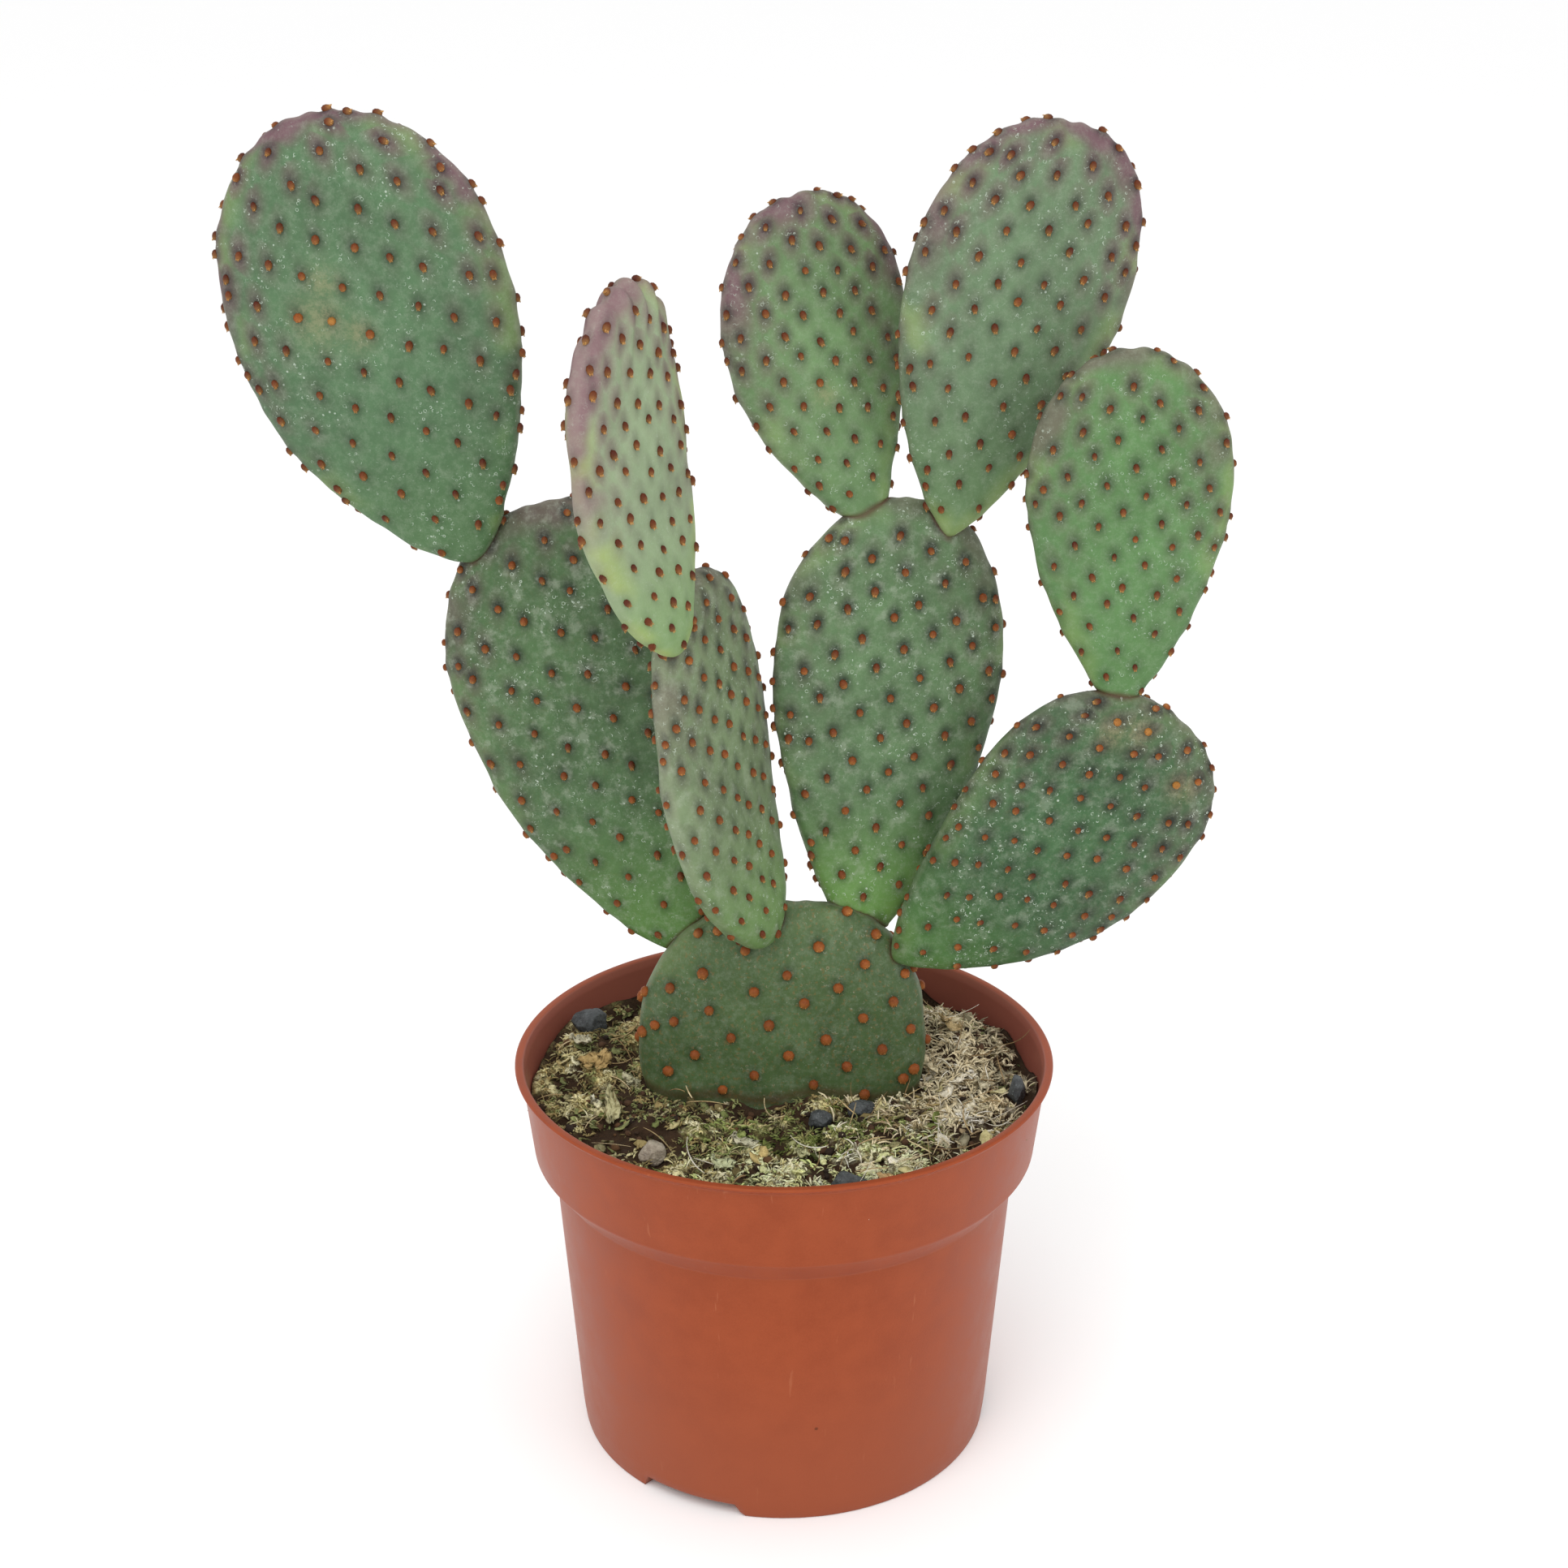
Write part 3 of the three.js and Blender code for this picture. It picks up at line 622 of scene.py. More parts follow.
def new_group(name, inputs, outputs):
    """An empty shader node group, with the names of its inputs and outputs listed by kind."""
    group = bpy.data.node_groups.new(name, "ShaderNodeTree")
    for side, kinds in (("INPUT", inputs), ("OUTPUT", outputs)):
        for kind, labels in kinds.items():
            for label in labels:
                group.interface.new_socket(label, in_out=side, socket_type="NodeSocket" + kind)
    given = group.nodes.new("NodeGroupInput").outputs
    return group, given, group.nodes.new("NodeGroupOutput").inputs


def use_group(tree, group, inputs):
    return add_node(tree, "ShaderNodeGroup", inputs, node_tree=group).outputs


def flecks_group():
    """Tiny pale squiggles, pieces of small rings, that gather in clusters."""
    group, given, result = new_group(
        "flecks", {"Vector": ["Place"], "Float": ["Scale", "Amount"]}, {"Float": ["Mask"]})
    place = given["Place"]
    cells = add_node(group, "ShaderNodeTexVoronoi", {"Vector": place, "Scale": given["Scale"]})
    away = cells.outputs["Distance"]
    rings = times(group, ranged(group, away, 0.22, 0.28), ranged(group, away, 0.37, 0.31))
    picked = ranged(group, cloud(group, place, 1100.0, 1.0), 0.50, 0.60)
    clusters = ranged(group, cloud(group, place, 120.0, 4.0, 0.7), 0.43, 0.6)
    mask = times(group, times(group, rings, picked), times(group, clusters, given["Amount"]), True)
    feed(group, result["Mask"], mask)
    return group


def grain_group():
    """Fine grain: a height for bumps and an uneven tone, at two sizes."""
    group, given, result = new_group(
        "grain", {"Vector": ["Place"], "Float": ["Coarse", "Fine"]}, {"Float": ["Tone", "Height"]})
    coarse = cloud(group, given["Place"], given["Coarse"], 4.0, 0.6)
    fine = cloud(group, given["Place"], given["Fine"], 3.0, 0.6)
    feed(group, result["Tone"], blend_values(group, 0.35, coarse, fine))
    feed(group, result["Height"], blend_values(group, 0.6, coarse, fine))
    return group


FLECKS = flecks_group()
GRAIN = grain_group()


def grain_of(tree, place, coarse, fine):
    """Grain with coarse and fine spots, which are finer the larger the two numbers are."""
    return use_group(tree, GRAIN, {"Place": place, "Coarse": coarse, "Fine": fine})


# The pale tint for the rim's edge is a painted highlight.
SKIN_TINTS = {
    "fresh": "#6a9843", "yellow": "#93a55c", "mauve": "#694b53", "pale_mauve": "#7c5862",
    "ring": (0.23, 0.26, 0.25, 1), "bloom": "#b6c2ad", "chalk": "#aab1a0", "rust": "#7a5f33",
    "specks": "#bac7b8", "blemish": "#978c66", "painted_rim_highlight": "#b0ad9a", "cork": "#4a2f1c",
}


def skin_group():
    """The skin of a pad: green with bloom, dark rings at the areoles, tints at rim and foot."""
    group, given, result = new_group("cactus_skin", {
        "Vector": ["Place"], "Color": ["Deep", "Light", "Mauve Tint"],
        "Float": SKIN_MASKS + SKIN_LOOKS,
    }, {"Color": ["Color"], "Float": ["Roughness", "Height"]})
    place, share, edge = given["Place"], given["Share"], given["Edge"]
    broad = cloud(group, place, 55.0)
    patches = cloud(group, place, 190.0, 4.0, 0.6)
    grain = grain_of(group, place, 650.0, 2400.0)
    tone = blend_values(group, 0.5, ranged(group, broad, 0.35, 0.65),
                        ranged(group, patches, 0.3, 0.7))
    # painted shade: the green deepens towards the pad's foot, where less light falls
    tone = times(group, tone, ranged(group, share, 0.0, 0.5, 0.4, 1.0))
    colour = mix(group, tone, given["Deep"], given["Light"])
    # fresh green where the pad narrows to its foot, and yellow-green in soft patches along its rim
    rim = times(group, ranged(group, edge, 8.0, 0.0), ranged(group, broad, 0.45, 0.6))
    colour = layered(group, colour, SKIN_TINTS, {
        "fresh": times(group, ranged(group, share, 0.42, 0.02, 0.0, 0.8), given["Fresh"]),
        "yellow": times(group, rim, given["Yellow"]),
    })
    # mauve towards the upper rim and in streaks through the areoles
    upper_full = math_node(group, "ADD", given["Rim From"], 0.3)
    upper = ranged(group, share, given["Rim From"], upper_full)
    uneven_edge = math_node(group, "ADD", edge, ranged(group, broad, 0.3, 0.7, -3.0, 5.0))
    top_rim = times(group, ranged(group, uneven_edge, 7.5, 0.0), upper)
    streaks = times(group, given["Streak"], ranged(group, share, 0.1, 0.9))
    streaks = times(group, streaks, ranged(group, edge, 20.0, 4.0, 0.2, 1.0))
    mauve = times(group, math_node(group, "MAXIMUM", top_rim, streaks), given["Mauve"], True)
    colour = mix(group, mauve, colour, given["Mauve Tint"])
    # a dark ring round each areole, darker towards the tip
    dark = mix(group, 1.0, colour, SKIN_TINTS["ring"], "MULTIPLY")
    rings = times(group, given["Rings"], ranged(group, share, 0.15, 0.85, 0.5, 1.0))
    colour = mix(group, times(group, given["Halo"], rings), colour, dark)
    # bloom, dust, flecks and scars, a painted highlight along the rim's edge, and corky lines at
    # the joints
    chalk = ranged(group, cloud(group, place, 300.0, 4.0, 0.6), 0.50, 0.72)
    rust = ranged(group, cloud(group, place, 1100.0, 3.0, 0.6), 0.56, 0.66, 0.0, 0.5)
    flecks = use_group(group, FLECKS, {"Place": place, "Scale": 800.0, "Amount": given["Specks"]})
    scar = ranged(group, grain["Tone"], 0.35, 0.6, 0.1, 0.4)
    colour = layered(group, colour, SKIN_TINTS, {
        "bloom": ranged(group, grain["Tone"], 0.42, 0.7, 0.0, 0.12),
        "chalk": times(group, chalk, times(group, given["Chalk"], 0.4)),
        "rust": times(group, rust, given["Rust"]),
        "specks": times(group, flecks["Mask"], 0.7),
        "blemish": times(group, given["Blemish"], scar),
        # painted highlight: a thin pale line along the rim's edge, where it catches the light
        "painted_rim_highlight": times(group, ranged(group, edge, 0.9, 0.1), 0.1),
        "cork": times(group, given["Seam"], 0.8),
    })
    feed(group, result["Color"], colour)
    feed(group, result["Roughness"], ranged(group, grain["Tone"], 0.3, 0.7, 0.50, 0.68))
    feed(group, result["Height"], blend_values(group, 0.5, grain["Height"], patches))
    return group


SKIN = skin_group()


def new_material(name):
    """A node material, its node tree and the object's own coordinates."""
    material = bpy.data.materials.new(name)
    material.use_nodes = True
    place = material.node_tree.nodes.new("ShaderNodeTexCoord").outputs["Object"]
    return material, material.node_tree, place


def finished(material, colour, roughness, specular, height=None, strength=0, depth=0):
    """The material once its shader has its colour, roughness, gloss and bumps, depth in metres."""
    tree = material.node_tree
    given = {"Base Color": colour, "Roughness": roughness, "Specular IOR Level": specular}
    if height:
        given["Normal"] = add_node(tree, "ShaderNodeBump", {
            "Height": height, "Strength": strength, "Distance": depth}).outputs["Normal"]
    for label, value in given.items():
        feed(tree, tree.nodes["Principled BSDF"].inputs[label], value)
    return material


def skin_material(pad):
    material, tree, place = new_material("skin_of_" + pad.name)
    look = LOOKS[pad.name]
    green = linear(look.green)
    deep, light = (tuple(part * (1 + sign * look.stray) for part in green[:3]) + (1,)
                   for sign in (-1, 1))
    shift = add_node(tree, "ShaderNodeMapping", {"Vector": place, "Location": (
        0.13 * PADS.index(pad), 0.07, 0.0)}).outputs[0]
    mauve_tint = SKIN_TINTS["pale_mauve" if pad.name == "turned_upper" else "mauve"]
    inputs = {"Place": shift, "Deep": deep, "Light": light, "Mauve Tint": mauve_tint}
    for label in SKIN_LOOKS:
        inputs[label] = getattr(look, label.lower().replace(" ", "_"))
    for label in SKIN_MASKS:
        inputs[label] = attribute(tree, label.lower())
    skin = use_group(tree, SKIN, inputs)
    return finished(material, skin["Color"], skin["Roughness"], 0.3, skin["Height"], 0.35, 0.0004)


def felt_material():
    """The areoles: deep brown felt that wears to orange, with a golden brush of bristles."""
    material, tree, place = new_material("areole_felt")
    wear = attribute(tree, "wear")
    dome = mix(tree, wear, "#4f1f0e", "#8e4b1c")
    dome = mix(tree, ranged(tree, wear, 1.05, 1.4), dome, "#a06d2e")
    brush = mix(tree, wear, "#d0a05e", "#dd9a55")
    grain = grain_of(tree, place, 1500.0, 5000.0)
    colour = mix(tree, attribute(tree, "glow"), dome, brush)
    colour = mix(tree, ranged(tree, grain["Tone"], 0.3, 0.7, 0.0, 0.4), colour, "#42190b")
    return finished(material, colour, 0.55, 0.2, grain["Height"], 0.6, 0.0003)


# The foot tint is painted light: the pot paler and bluer near its foot, standing in for light
# bounced up from the pale floor.
POT_TINTS = {"scuffs": "#bd7a58", "inside": "#8f5144", "foot": "#8f4a33", "specks": "#4a2417"}


def pot_material():
    """Thin moulded plastic in terracotta colour, a little dusty and scuffed."""
    material, tree, place = new_material("terracotta_plastic")
    grain = grain_of(tree, place, 120.0, 2600.0)
    colour = mix(tree, ranged(tree, grain["Tone"], 0.3, 0.7), "#883c23", "#934428")
    drawn_out = add_node(tree, "ShaderNodeMapping", {
        "Vector": place, "Scale": (1.0, 1.0, 0.12), "Rotation": (0.3, 0.5, 0.0)}).outputs[0]
    height = add_node(tree, "ShaderNodeSeparateXYZ", {"Vector": place}).outputs["Z"]
    dots = add_node(tree, "ShaderNodeTexVoronoi", {"Vector": place, "Scale": 85.0})
    specks = ranged(tree, dots.outputs["Distance"], 0.05, 0.03, 0.0, 0.7)
    few = ranged(tree, cloud(tree, place, 60.0, 1.0), 0.56, 0.62)
    colour = layered(tree, colour, POT_TINTS, {
        "scuffs": ranged(tree, cloud(tree, drawn_out, 420.0, 3.0, 0.7), 0.66, 0.74, 0.0, 0.22),
        "inside": attribute(tree, "inside"),
        # painted light: paler and bluer towards the foot, standing in for light bounced from the
        # floor
        "foot": ranged(tree, height, 0.06, 0.0, 0.0, 0.7),
        "specks": times(tree, specks, few),
    })
    rough = ranged(tree, grain["Tone"], 0.3, 0.7, 0.36, 0.46)
    feed(tree, tree.nodes["Principled BSDF"].inputs["Specular Tint"], (1.0, 0.68, 0.38, 1))
    return finished(material, colour, rough, 0.25, grain["Height"], 0.12, 0.0003)


def ground_material():
    """Potting mix: dark peat in the hollows, and a mossy crust on the lumps in its own tint."""
    material, tree, place = new_material("potting_mix")
    grain = grain_of(tree, place, 450.0, 1900.0)
    peat = mix(tree, grain["Tone"], "#150f0a", "#4d3826")
    fine = ranged(tree, cloud(tree, place, 1300.0, 3.0, 0.7), 0.38, 0.62)
    shade = mix(tree, fine, (0.26, 0.23, 0.17, 1), (1.0, 1.0, 0.95, 1))
    moss = mix(tree, 1.0, attribute(tree, "tint", "Color"), shade, "MULTIPLY")
    crust = math_node(tree, "ADD", attribute(tree, "crust"), times(tree, grain["Tone"], 0.5))
    colour = mix(tree, ranged(tree, crust, 0.65, 1.15), peat, moss)
    return finished(material, colour, 0.95, 0.2, grain["Height"], 0.9, 0.0012)


def litter_material():
    """Moss, fibres and crumbs, each in the tint that its mesh carries."""
    material, tree, place = new_material("moss_and_fibre")
    tint = attribute(tree, "tint", "Color")
    grain = grain_of(tree, place, 900.0, 3500.0)
    dark = mix(tree, 1.0, tint, (0.55, 0.52, 0.45, 1), "MULTIPLY")
    colour = mix(tree, ranged(tree, grain["Tone"], 0.32, 0.6), dark, tint)
    return finished(material, colour, 0.9, 0.25, grain["Height"], 0.7, 0.0004)


def stone_material(name, dark, pale):
    """Rough stone in two tones with pale flecks."""
    material, tree, place = new_material(name)
    grain = grain_of(tree, place, 420.0, 2200.0)
    colour = mix(tree, ranged(tree, grain["Tone"], 0.3, 0.7), dark, pale)
    flecks = use_group(tree, FLECKS, {"Place": place, "Scale": 1300.0, "Amount": 0.5})["Mask"]
    colour = mix(tree, flecks, colour, "#9aa0a2")
    rough = ranged(tree, grain["Tone"], 0.3, 0.7, 0.62, 0.85)
    return finished(material, colour, rough, 0.5, grain["Height"], 0.8, 0.0006)


# ---------------------------------------------------------------- pot


def spun(profile, steps, name):
    """A closed turned mesh from (radius, height) points that start and end on the axis."""
    form = bmesh.new()
    corners = [form.verts.new((radius, 0, height)) for radius, height in profile]
    edges = [form.edges.new(pair) for pair in zip(corners, corners[1:])]
    bmesh.ops.spin(form, geom=corners + edges, cent=(0, 0, 0), axis=(0, 0, 1),
                   angle=FULL_TURN, steps=steps, use_merge=True)
    bmesh.ops.remove_doubles(form, verts=form.verts, dist=1e-3)
    return mesh_from(form, name)


def rounded(profile, radius, steps=3):
    """The profile with its corners rounded by up to the given radius."""
    result = [profile[0]]
    for before, corner, after in zip(profile, profile[1:], profile[2:]):
        here, back, on = Vector(corner), Vector(before), Vector(after)
        cut = min(radius, (back - here).length * 0.45, (on - here).length * 0.45)
        start = here + (back - here).normalized() * cut
        end = here + (on - here).normalized() * cut
        for i in range(steps + 1):
            t = i / steps
            bend = start * (1 - t) ** 2 + here * 2 * t * (1 - t) + end * t * t
            result.append(tuple(bend))
    return result + [profile[-1]]


def pot_profile():
    wall = POT.wall
    top, rim = POT.rim_height, POT.rim_radius
    lip = rim - POT.lip_overhang
    lip_foot = top - POT.lip_depth
    inner = POCKET.inner_radius
    outer = [
        (0, 0.9), (20, 0.9), (21, 0.2), (inner - 1.5, 0.0), (inner, 0.0), (inner + 0.4, 0.0),
        (44, 0.0), (POT.foot_radius - 0.2, 0.0), (POT.foot_radius + 0.2, 3.0),
        (POT.foot_radius + 0.5, 6.0),
        (POT.shoulder_radius, POT.shoulder_height),
        (POT.collar_foot_radius, POT.collar_foot_height),
        (lip, lip_foot), (rim - 0.5, top - POT.lip_depth / 2), (rim, top - 0.5),
        (rim - 0.4, top), (lip - 0.4, top),
    ]
    inside = [
        (lip - wall, lip_foot),
        (POT.collar_foot_radius - wall, POT.collar_foot_height + wall / 2),
        (POT.shoulder_radius - wall, POT.shoulder_height + wall / 2),
        (POT.foot_radius - wall, 6.0), (POT.foot_radius - wall, wall + 0.5),
        (inner, wall), (inner - 1.5, wall), (21, wall + 0.2), (20, wall + 0.9), (0, wall + 0.9),
    ]
    return rounded(outer + inside, POT.rounding)


def with_drain_holes(mesh):
    """The moulding with two drain holes cut through the roof of each foot pocket."""
    pins = bmesh.new()
    middle = (POCKET.inner_radius + POT.foot_radius) / 2
    for i in range(POCKET.count):
        for side in (-1, 1):
            azimuth = math.radians(POCKET.first_azimuth + 360 / POCKET.count * i
                                   + side * POCKET.hole_spread)
            at = (middle * math.cos(azimuth), middle * math.sin(azimuth), POCKET.height)
            bmesh.ops.create_cone(pins, cap_ends=True, segments=32, depth=8,
                                  radius1=POCKET.hole_radius, radius2=POCKET.hole_radius,
                                  matrix=Matrix.Translation(at))
    moulding = bpy.data.objects.new("moulding", mesh)
    cutter = bpy.data.objects.new("drain_pins", mesh_from(pins, "drain_pins"))
    for item in (moulding, cutter):
        bpy.context.scene.collection.objects.link(item)
    cut = moulding.modifiers.new("drain_holes", "BOOLEAN")
    cut.operation = "DIFFERENCE"
    cut.solver = "EXACT"
    cut.object = cutter
    bpy.context.view_layer.update()
    whole = bpy.data.meshes.new_from_object(
        moulding.evaluated_get(bpy.context.evaluated_depsgraph_get()))
    bpy.data.objects.remove(moulding)
    bpy.data.objects.remove(cutter)
    return whole


def build_pot(material):
    mesh = spun(pot_profile(), POT.steps, "pot_moulding")
    points = mesh_points(mesh)
    radius = np.hypot(points[:, 0], points[:, 1])
    azimuth = np.degrees(np.arctan2(points[:, 1], points[:, 0]))
    for i in range(POCKET.count):
        middle = POCKET.first_azimuth + 360 / POCKET.count * i
        off = np.abs((azimuth - middle + 180) % 360 - 180)
        inside = smooth_step(POCKET.half_width + POCKET.slope,
                             POCKET.half_width - POCKET.slope, off)
        inside *= smooth_step(POCKET.inner_radius - 1.2, POCKET.inner_radius + 0.2, radius)
        low = points[:, 2] < POCKET.height + 0.5
        lifted = POCKET.height + points[:, 2]
        roof = np.where(radius > POT.foot_radius - 0.6,
                        POCKET.height + points[:, 2] * 0.15, lifted)
        points[:, 2] = np.where(low, points[:, 2] + (roof - points[:, 2]) * inside, points[:, 2])
    place_points(mesh, points)
    mesh = with_drain_holes(mesh)
    points, normals = mesh_points(mesh), mesh_points(mesh, "normal")
    radius = np.maximum(np.hypot(points[:, 0], points[:, 1]), 1)
    outwards = (points[:, 0] * normals[:, 0] + points[:, 1] * normals[:, 1]) / radius
    store(mesh, "inside", smooth_step(-0.2, -0.7, outwards))
    add_piece("pot_moulding", mesh, [material], ["pot"])


# ---------------------------------------------------------------- soil and what lies on it


def soil_height(x, y):
    height = SOIL.level
    for tall, across_x, across_y, shift in SOIL.lumps:
        height = height + tall * np.sin(across_x * x + across_y * y + shift)
    for at_x, at_y, rise, spread in SOIL.heaps:
        height = height + rise * np.exp(-((x - at_x) ** 2 + (y - at_y) ** 2) / spread ** 2)
    return height


def wall_radius(height):
    """The inside of the pot's collar at a height."""
    foot, top = POT.collar_foot_height, POT.rim_height - POT.lip_depth
    low = POT.collar_foot_radius - POT.wall
    high = POT.rim_radius - POT.lip_overhang - POT.wall
    return low + (high - low) * (height - foot) / (top - foot)


def crumb_relief(x, y):
    """Lumps and hollows of the crust, in mm, and its dip along the wall at the back right."""
    lump = noise.voronoi(Vector((x / 9.0, y / 9.0, 1.3)))[0][0]
    small = noise.voronoi(Vector((x / 2.8, y / 2.8, 5.1)))[0][0]
    rough = noise.fractal(Vector((x / 4.0, y / 4.0, 0.5)), 0.8, 2.2, 5)
    at_wall = max(0, math.hypot(x, y) - 49) / 12
    back_right = math.exp(-((math.degrees(math.atan2(y, x)) - 38) / 38) ** 2)
    dip = 3.5 * min(at_wall, 1) ** 1.2 * back_right
    lumpy = 4.4 - 2.2 * math.exp(-((x - 40) / 22) ** 2)
    return lumpy * (0.4 - lump) + 0.9 * (0.4 - small) + 0.8 * rough - dip


# How many clumps lie on the crust and how many of them one piece holds; how many fibres, flakes and
# crumbs; and where, in mm to the right, fibres get denser and flakes larger. No gain on a tint is
# above MOST_GAIN, and none lifts a tint above PALEST.
MOSS_CLUMPS = 6800
CLUMPS_IN_PIECE = 1500
FIBRES = 240
FLAKES = 330
CRUMBS = 650
STRAW_FROM = 15
PALEST = 0.88
MOST_GAIN = 3.0
# What grows or lies on the crust: its middle, its reach across and deep, the gain on its tints, and
# the tints. Where none of the others reaches, the crust carries grey moss.
COVERS = {
    "green_moss": {"at": (0, -25), "reach": (27, 8), "gain": 1.2,
                   "tints": ["#6a7238", "#7f8a48", "#9aa562", "#8b8a58", "#b0b27c"]},
    "pale_crust": {"at": (15, -43), "reach": (28, 15), "gain": 3.4,
                   "tints": ["#9ba36c", "#b0b184", "#c6c9a4", "#d2ceb0", "#e2e2cc"]},
    "straw": {"at": (45, 6), "reach": (24, 42), "gain": 2.2,
              "tints": ["#85745a", "#a39a80", "#bdb092", "#d4c8aa", "#dfd8c6", "#ece8de"]},
    "grey_moss": {"gain": 1.4,
                  "tints": ["#7b6e46", "#8f9460", "#a59363", "#bab081", "#d0c89b", "#e6e0bc"]},
}
PEAT_TINTS = ["#4a3424", "#38281c", "#5e432c", "#2c211a"]
FIBRE_TINTS = ["#c9b791", "#b09a72", "#e0dbcc", "#8d7552"]


def cover_at(x, y, chance):
    """The cover at a place; a chance from 0 to 1 decides between two that meet there."""
    for name, cover in COVERS.items():
        if "at" in cover:
            across = (x - cover["at"][0]) / cover["reach"][0]
            deep = (y - cover["at"][1]) / cover["reach"][1]
            weight = math.exp(-(across * across + deep * deep))
            if chance < weight:
                return name
            chance = (chance - weight) / (1 - weight)
    return "grey_moss"


def peaty(x, y):
    """How bare a place is: near 1 in the open hollows of peat, near 0 on the lumps."""
    open_peat = math.exp(-((x + 37) / 11) ** 2 - ((y + 27) / 8) ** 2)
    open_peat += math.exp(-((x - 43) / 9) ** 2 - ((y + 27) / 5) ** 2)
    return min(1, open_peat + max(0, -0.3 - 0.5 * crumb_relief(x, y)))


def build_ground(material):
    edge = wall_radius(SOIL.level) - SOIL.wall_gap
    crust = [(edge * (1 - i / SOIL.rings), SOIL.level) for i in range(SOIL.rings + 1)]
    wall = [(0, SOIL.underside), (POT.foot_radius - 3, SOIL.underside),
            (POT.shoulder_radius - POT.wall - 0.5, POT.shoulder_height),
            (POT.collar_foot_radius - POT.wall - 0.6, POT.collar_foot_height + 1)]
    mesh = spun(wall + crust, SOIL.steps, "potting_mix")
    points = mesh_points(mesh)
    crusty = np.zeros(len(points))
    tints = np.tile(linear(PEAT_TINTS[0]), (len(points), 1))
    draw = random.Random(12)
    for i, (x, y, z) in enumerate(points):
        if z < SOIL.level - 0.01:
            continue
        away = math.hypot(x, y)
        rough = crumb_relief(x, y) * min(1, (edge - away) / 2 + 0.3)
        height = soil_height(x, y) + rough
        fit = min(1, (wall_radius(height) - SOIL.wall_gap) / max(away, 1e-6))
        points[i] = (x * fit, y * fit, height)
        crusty[i] = 0.6 + 0.25 * rough - 0.5 * peaty(x, y)
        tints[i] = cover_tint(draw, cover_at(x, y, draw.random()), x, y, rough)
    place_points(mesh, points)
    store(mesh, "crust", np.clip(crusty, 0, 1))
    store_tint(mesh, tints)
    add_piece("potting_mix", mesh, [material], ["soil"])


def strand(sides, sections):
    """A straight upright strand of unit length and radius, closed at both ends."""
    form = bmesh.new()
    bmesh.ops.create_cone(form, cap_ends=True, segments=sides, radius1=1, radius2=1, depth=1)
    bmesh.ops.translate(form, vec=(0, 0, 0.5), verts=form.verts)
    upright = [edge for edge in form.edges if abs(edge.verts[0].co.z - edge.verts[1].co.z) > 0.5]
    bmesh.ops.subdivide_edges(form, edges=upright, cuts=sections - 1)
    return mesh_from(form, "strand")


def bent(points, length, thick, flat, curl, twist):
    """A strand's points bent along a curling path and thinned towards its ends."""
    along = points[:, 2]
    curl = curl if abs(curl) > 0.05 else 0.05
    path = np.stack([length / curl * (1 - np.cos(curl * along)), np.zeros(len(along)),
                     length / curl * np.sin(curl * along)], 1)
    taper = 0.3 + 0.7 * np.sin(np.pi * np.clip(along * 0.85 + 0.1, 0, 1))
    side = points[:, 0] * np.cos(twist * along) - points[:, 1] * np.sin(twist * along)
    deep = points[:, 0] * np.sin(twist * along) + points[:, 1] * np.cos(twist * along)
    normal = np.stack([np.cos(curl * along), np.zeros(len(along)), -np.sin(curl * along)], 1)
    return path + normal * (side * thick * taper)[:, None] \
        + np.outer(deep * thick * flat * taper, (0, 1, 0))


def turned_about(points, lean, azimuth, at=(0, 0, 0)):
    turn = Matrix.Rotation(azimuth, 3, "Z") @ Matrix.Rotation(lean, 3, "Y")
    return points @ np.array(turn).T + np.array(at)


def gather(parts, name):
    """Joins copies of template meshes, each with its own points and tint, into one mesh."""
    copies = []
    for template, points, _ in parts:
        copies.append(template.copy())
        place_points(copies[-1], points)
    mesh = joined(copies, name)
    bpy.data.batch_remove(copies)
    store_tint(mesh, np.concatenate([np.tile(tint, (len(points), 1)) for _, points, tint in parts]))
    return mesh


def clump_template(draw, blades, length, thick, curl):
    """A few curled blades that spread from one foot."""
    blade = strand(3, 3)
    straight = mesh_points(blade)
    form = bmesh.new()
    for _ in range(blades):
        points = bent(straight, length * draw.uniform(0.6, 1.2), thick * draw.uniform(0.7, 1.3),
                      draw.uniform(0.5, 1.8), curl * draw.uniform(0.4, 1.3), draw.uniform(-1, 1))
        azimuth = draw.uniform(0, FULL_TURN)
        foot = (draw.uniform(-0.9, 0.9), draw.uniform(-0.9, 0.9), -0.3)
        copy = blade.copy()
        place_points(copy, turned_about(points, draw.uniform(0.2, 1.3), azimuth, foot))
        form.from_mesh(copy)
        bpy.data.meshes.remove(copy)
    return mesh_from(form, "clump")


def flake_template(draw, across=3, deep=2, ragged_by=0.55):
    """A thin curled flake of dry moss or bark."""
    form = bmesh.new()
    bmesh.ops.create_grid(form, x_segments=across, y_segments=deep, size=1)
    bmesh.ops.solidify(form, geom=form.faces[:], thickness=0.16)
    mesh = mesh_from(form, "flake")
    points = mesh_points(mesh)
    corner = np.abs(points[:, 0] * points[:, 1])
    points[:, :2] *= (1 - 0.28 * corner)[:, None]
    shift = Vector((draw.uniform(0, 9), 0, 3))
    ragged = np.array([noise.turbulence_vector(Vector(point) * 1.6 + shift, 4, False)
                       for point in points])
    points += (ragged - ragged.mean(axis=0)) * ragged_by
    points[:, 2] += draw.uniform(0.2, 0.5) * points[:, 0] ** 2 + 0.3 * np.sin(2 * points[:, 1])
    place_points(mesh, points)
    return mesh


def free_place(draw, reach):
    """A place on the crust that is clear of the base pad and the stones."""
    while True:
        radius = reach * math.sqrt(draw.random())
        azimuth = draw.uniform(0, FULL_TURN)
        x, y = radius * math.cos(azimuth), radius * math.sin(azimuth)
        spot = np.array([[x, y, soil_height(x, y)]])
        if distance_to_pad(PADS[0], spot)[0] < 0.9:
            continue
        if any(math.hypot(x - s.at[0], y - s.at[1]) < max(s.size[:2]) for s in STONES):
            continue
        return x, y


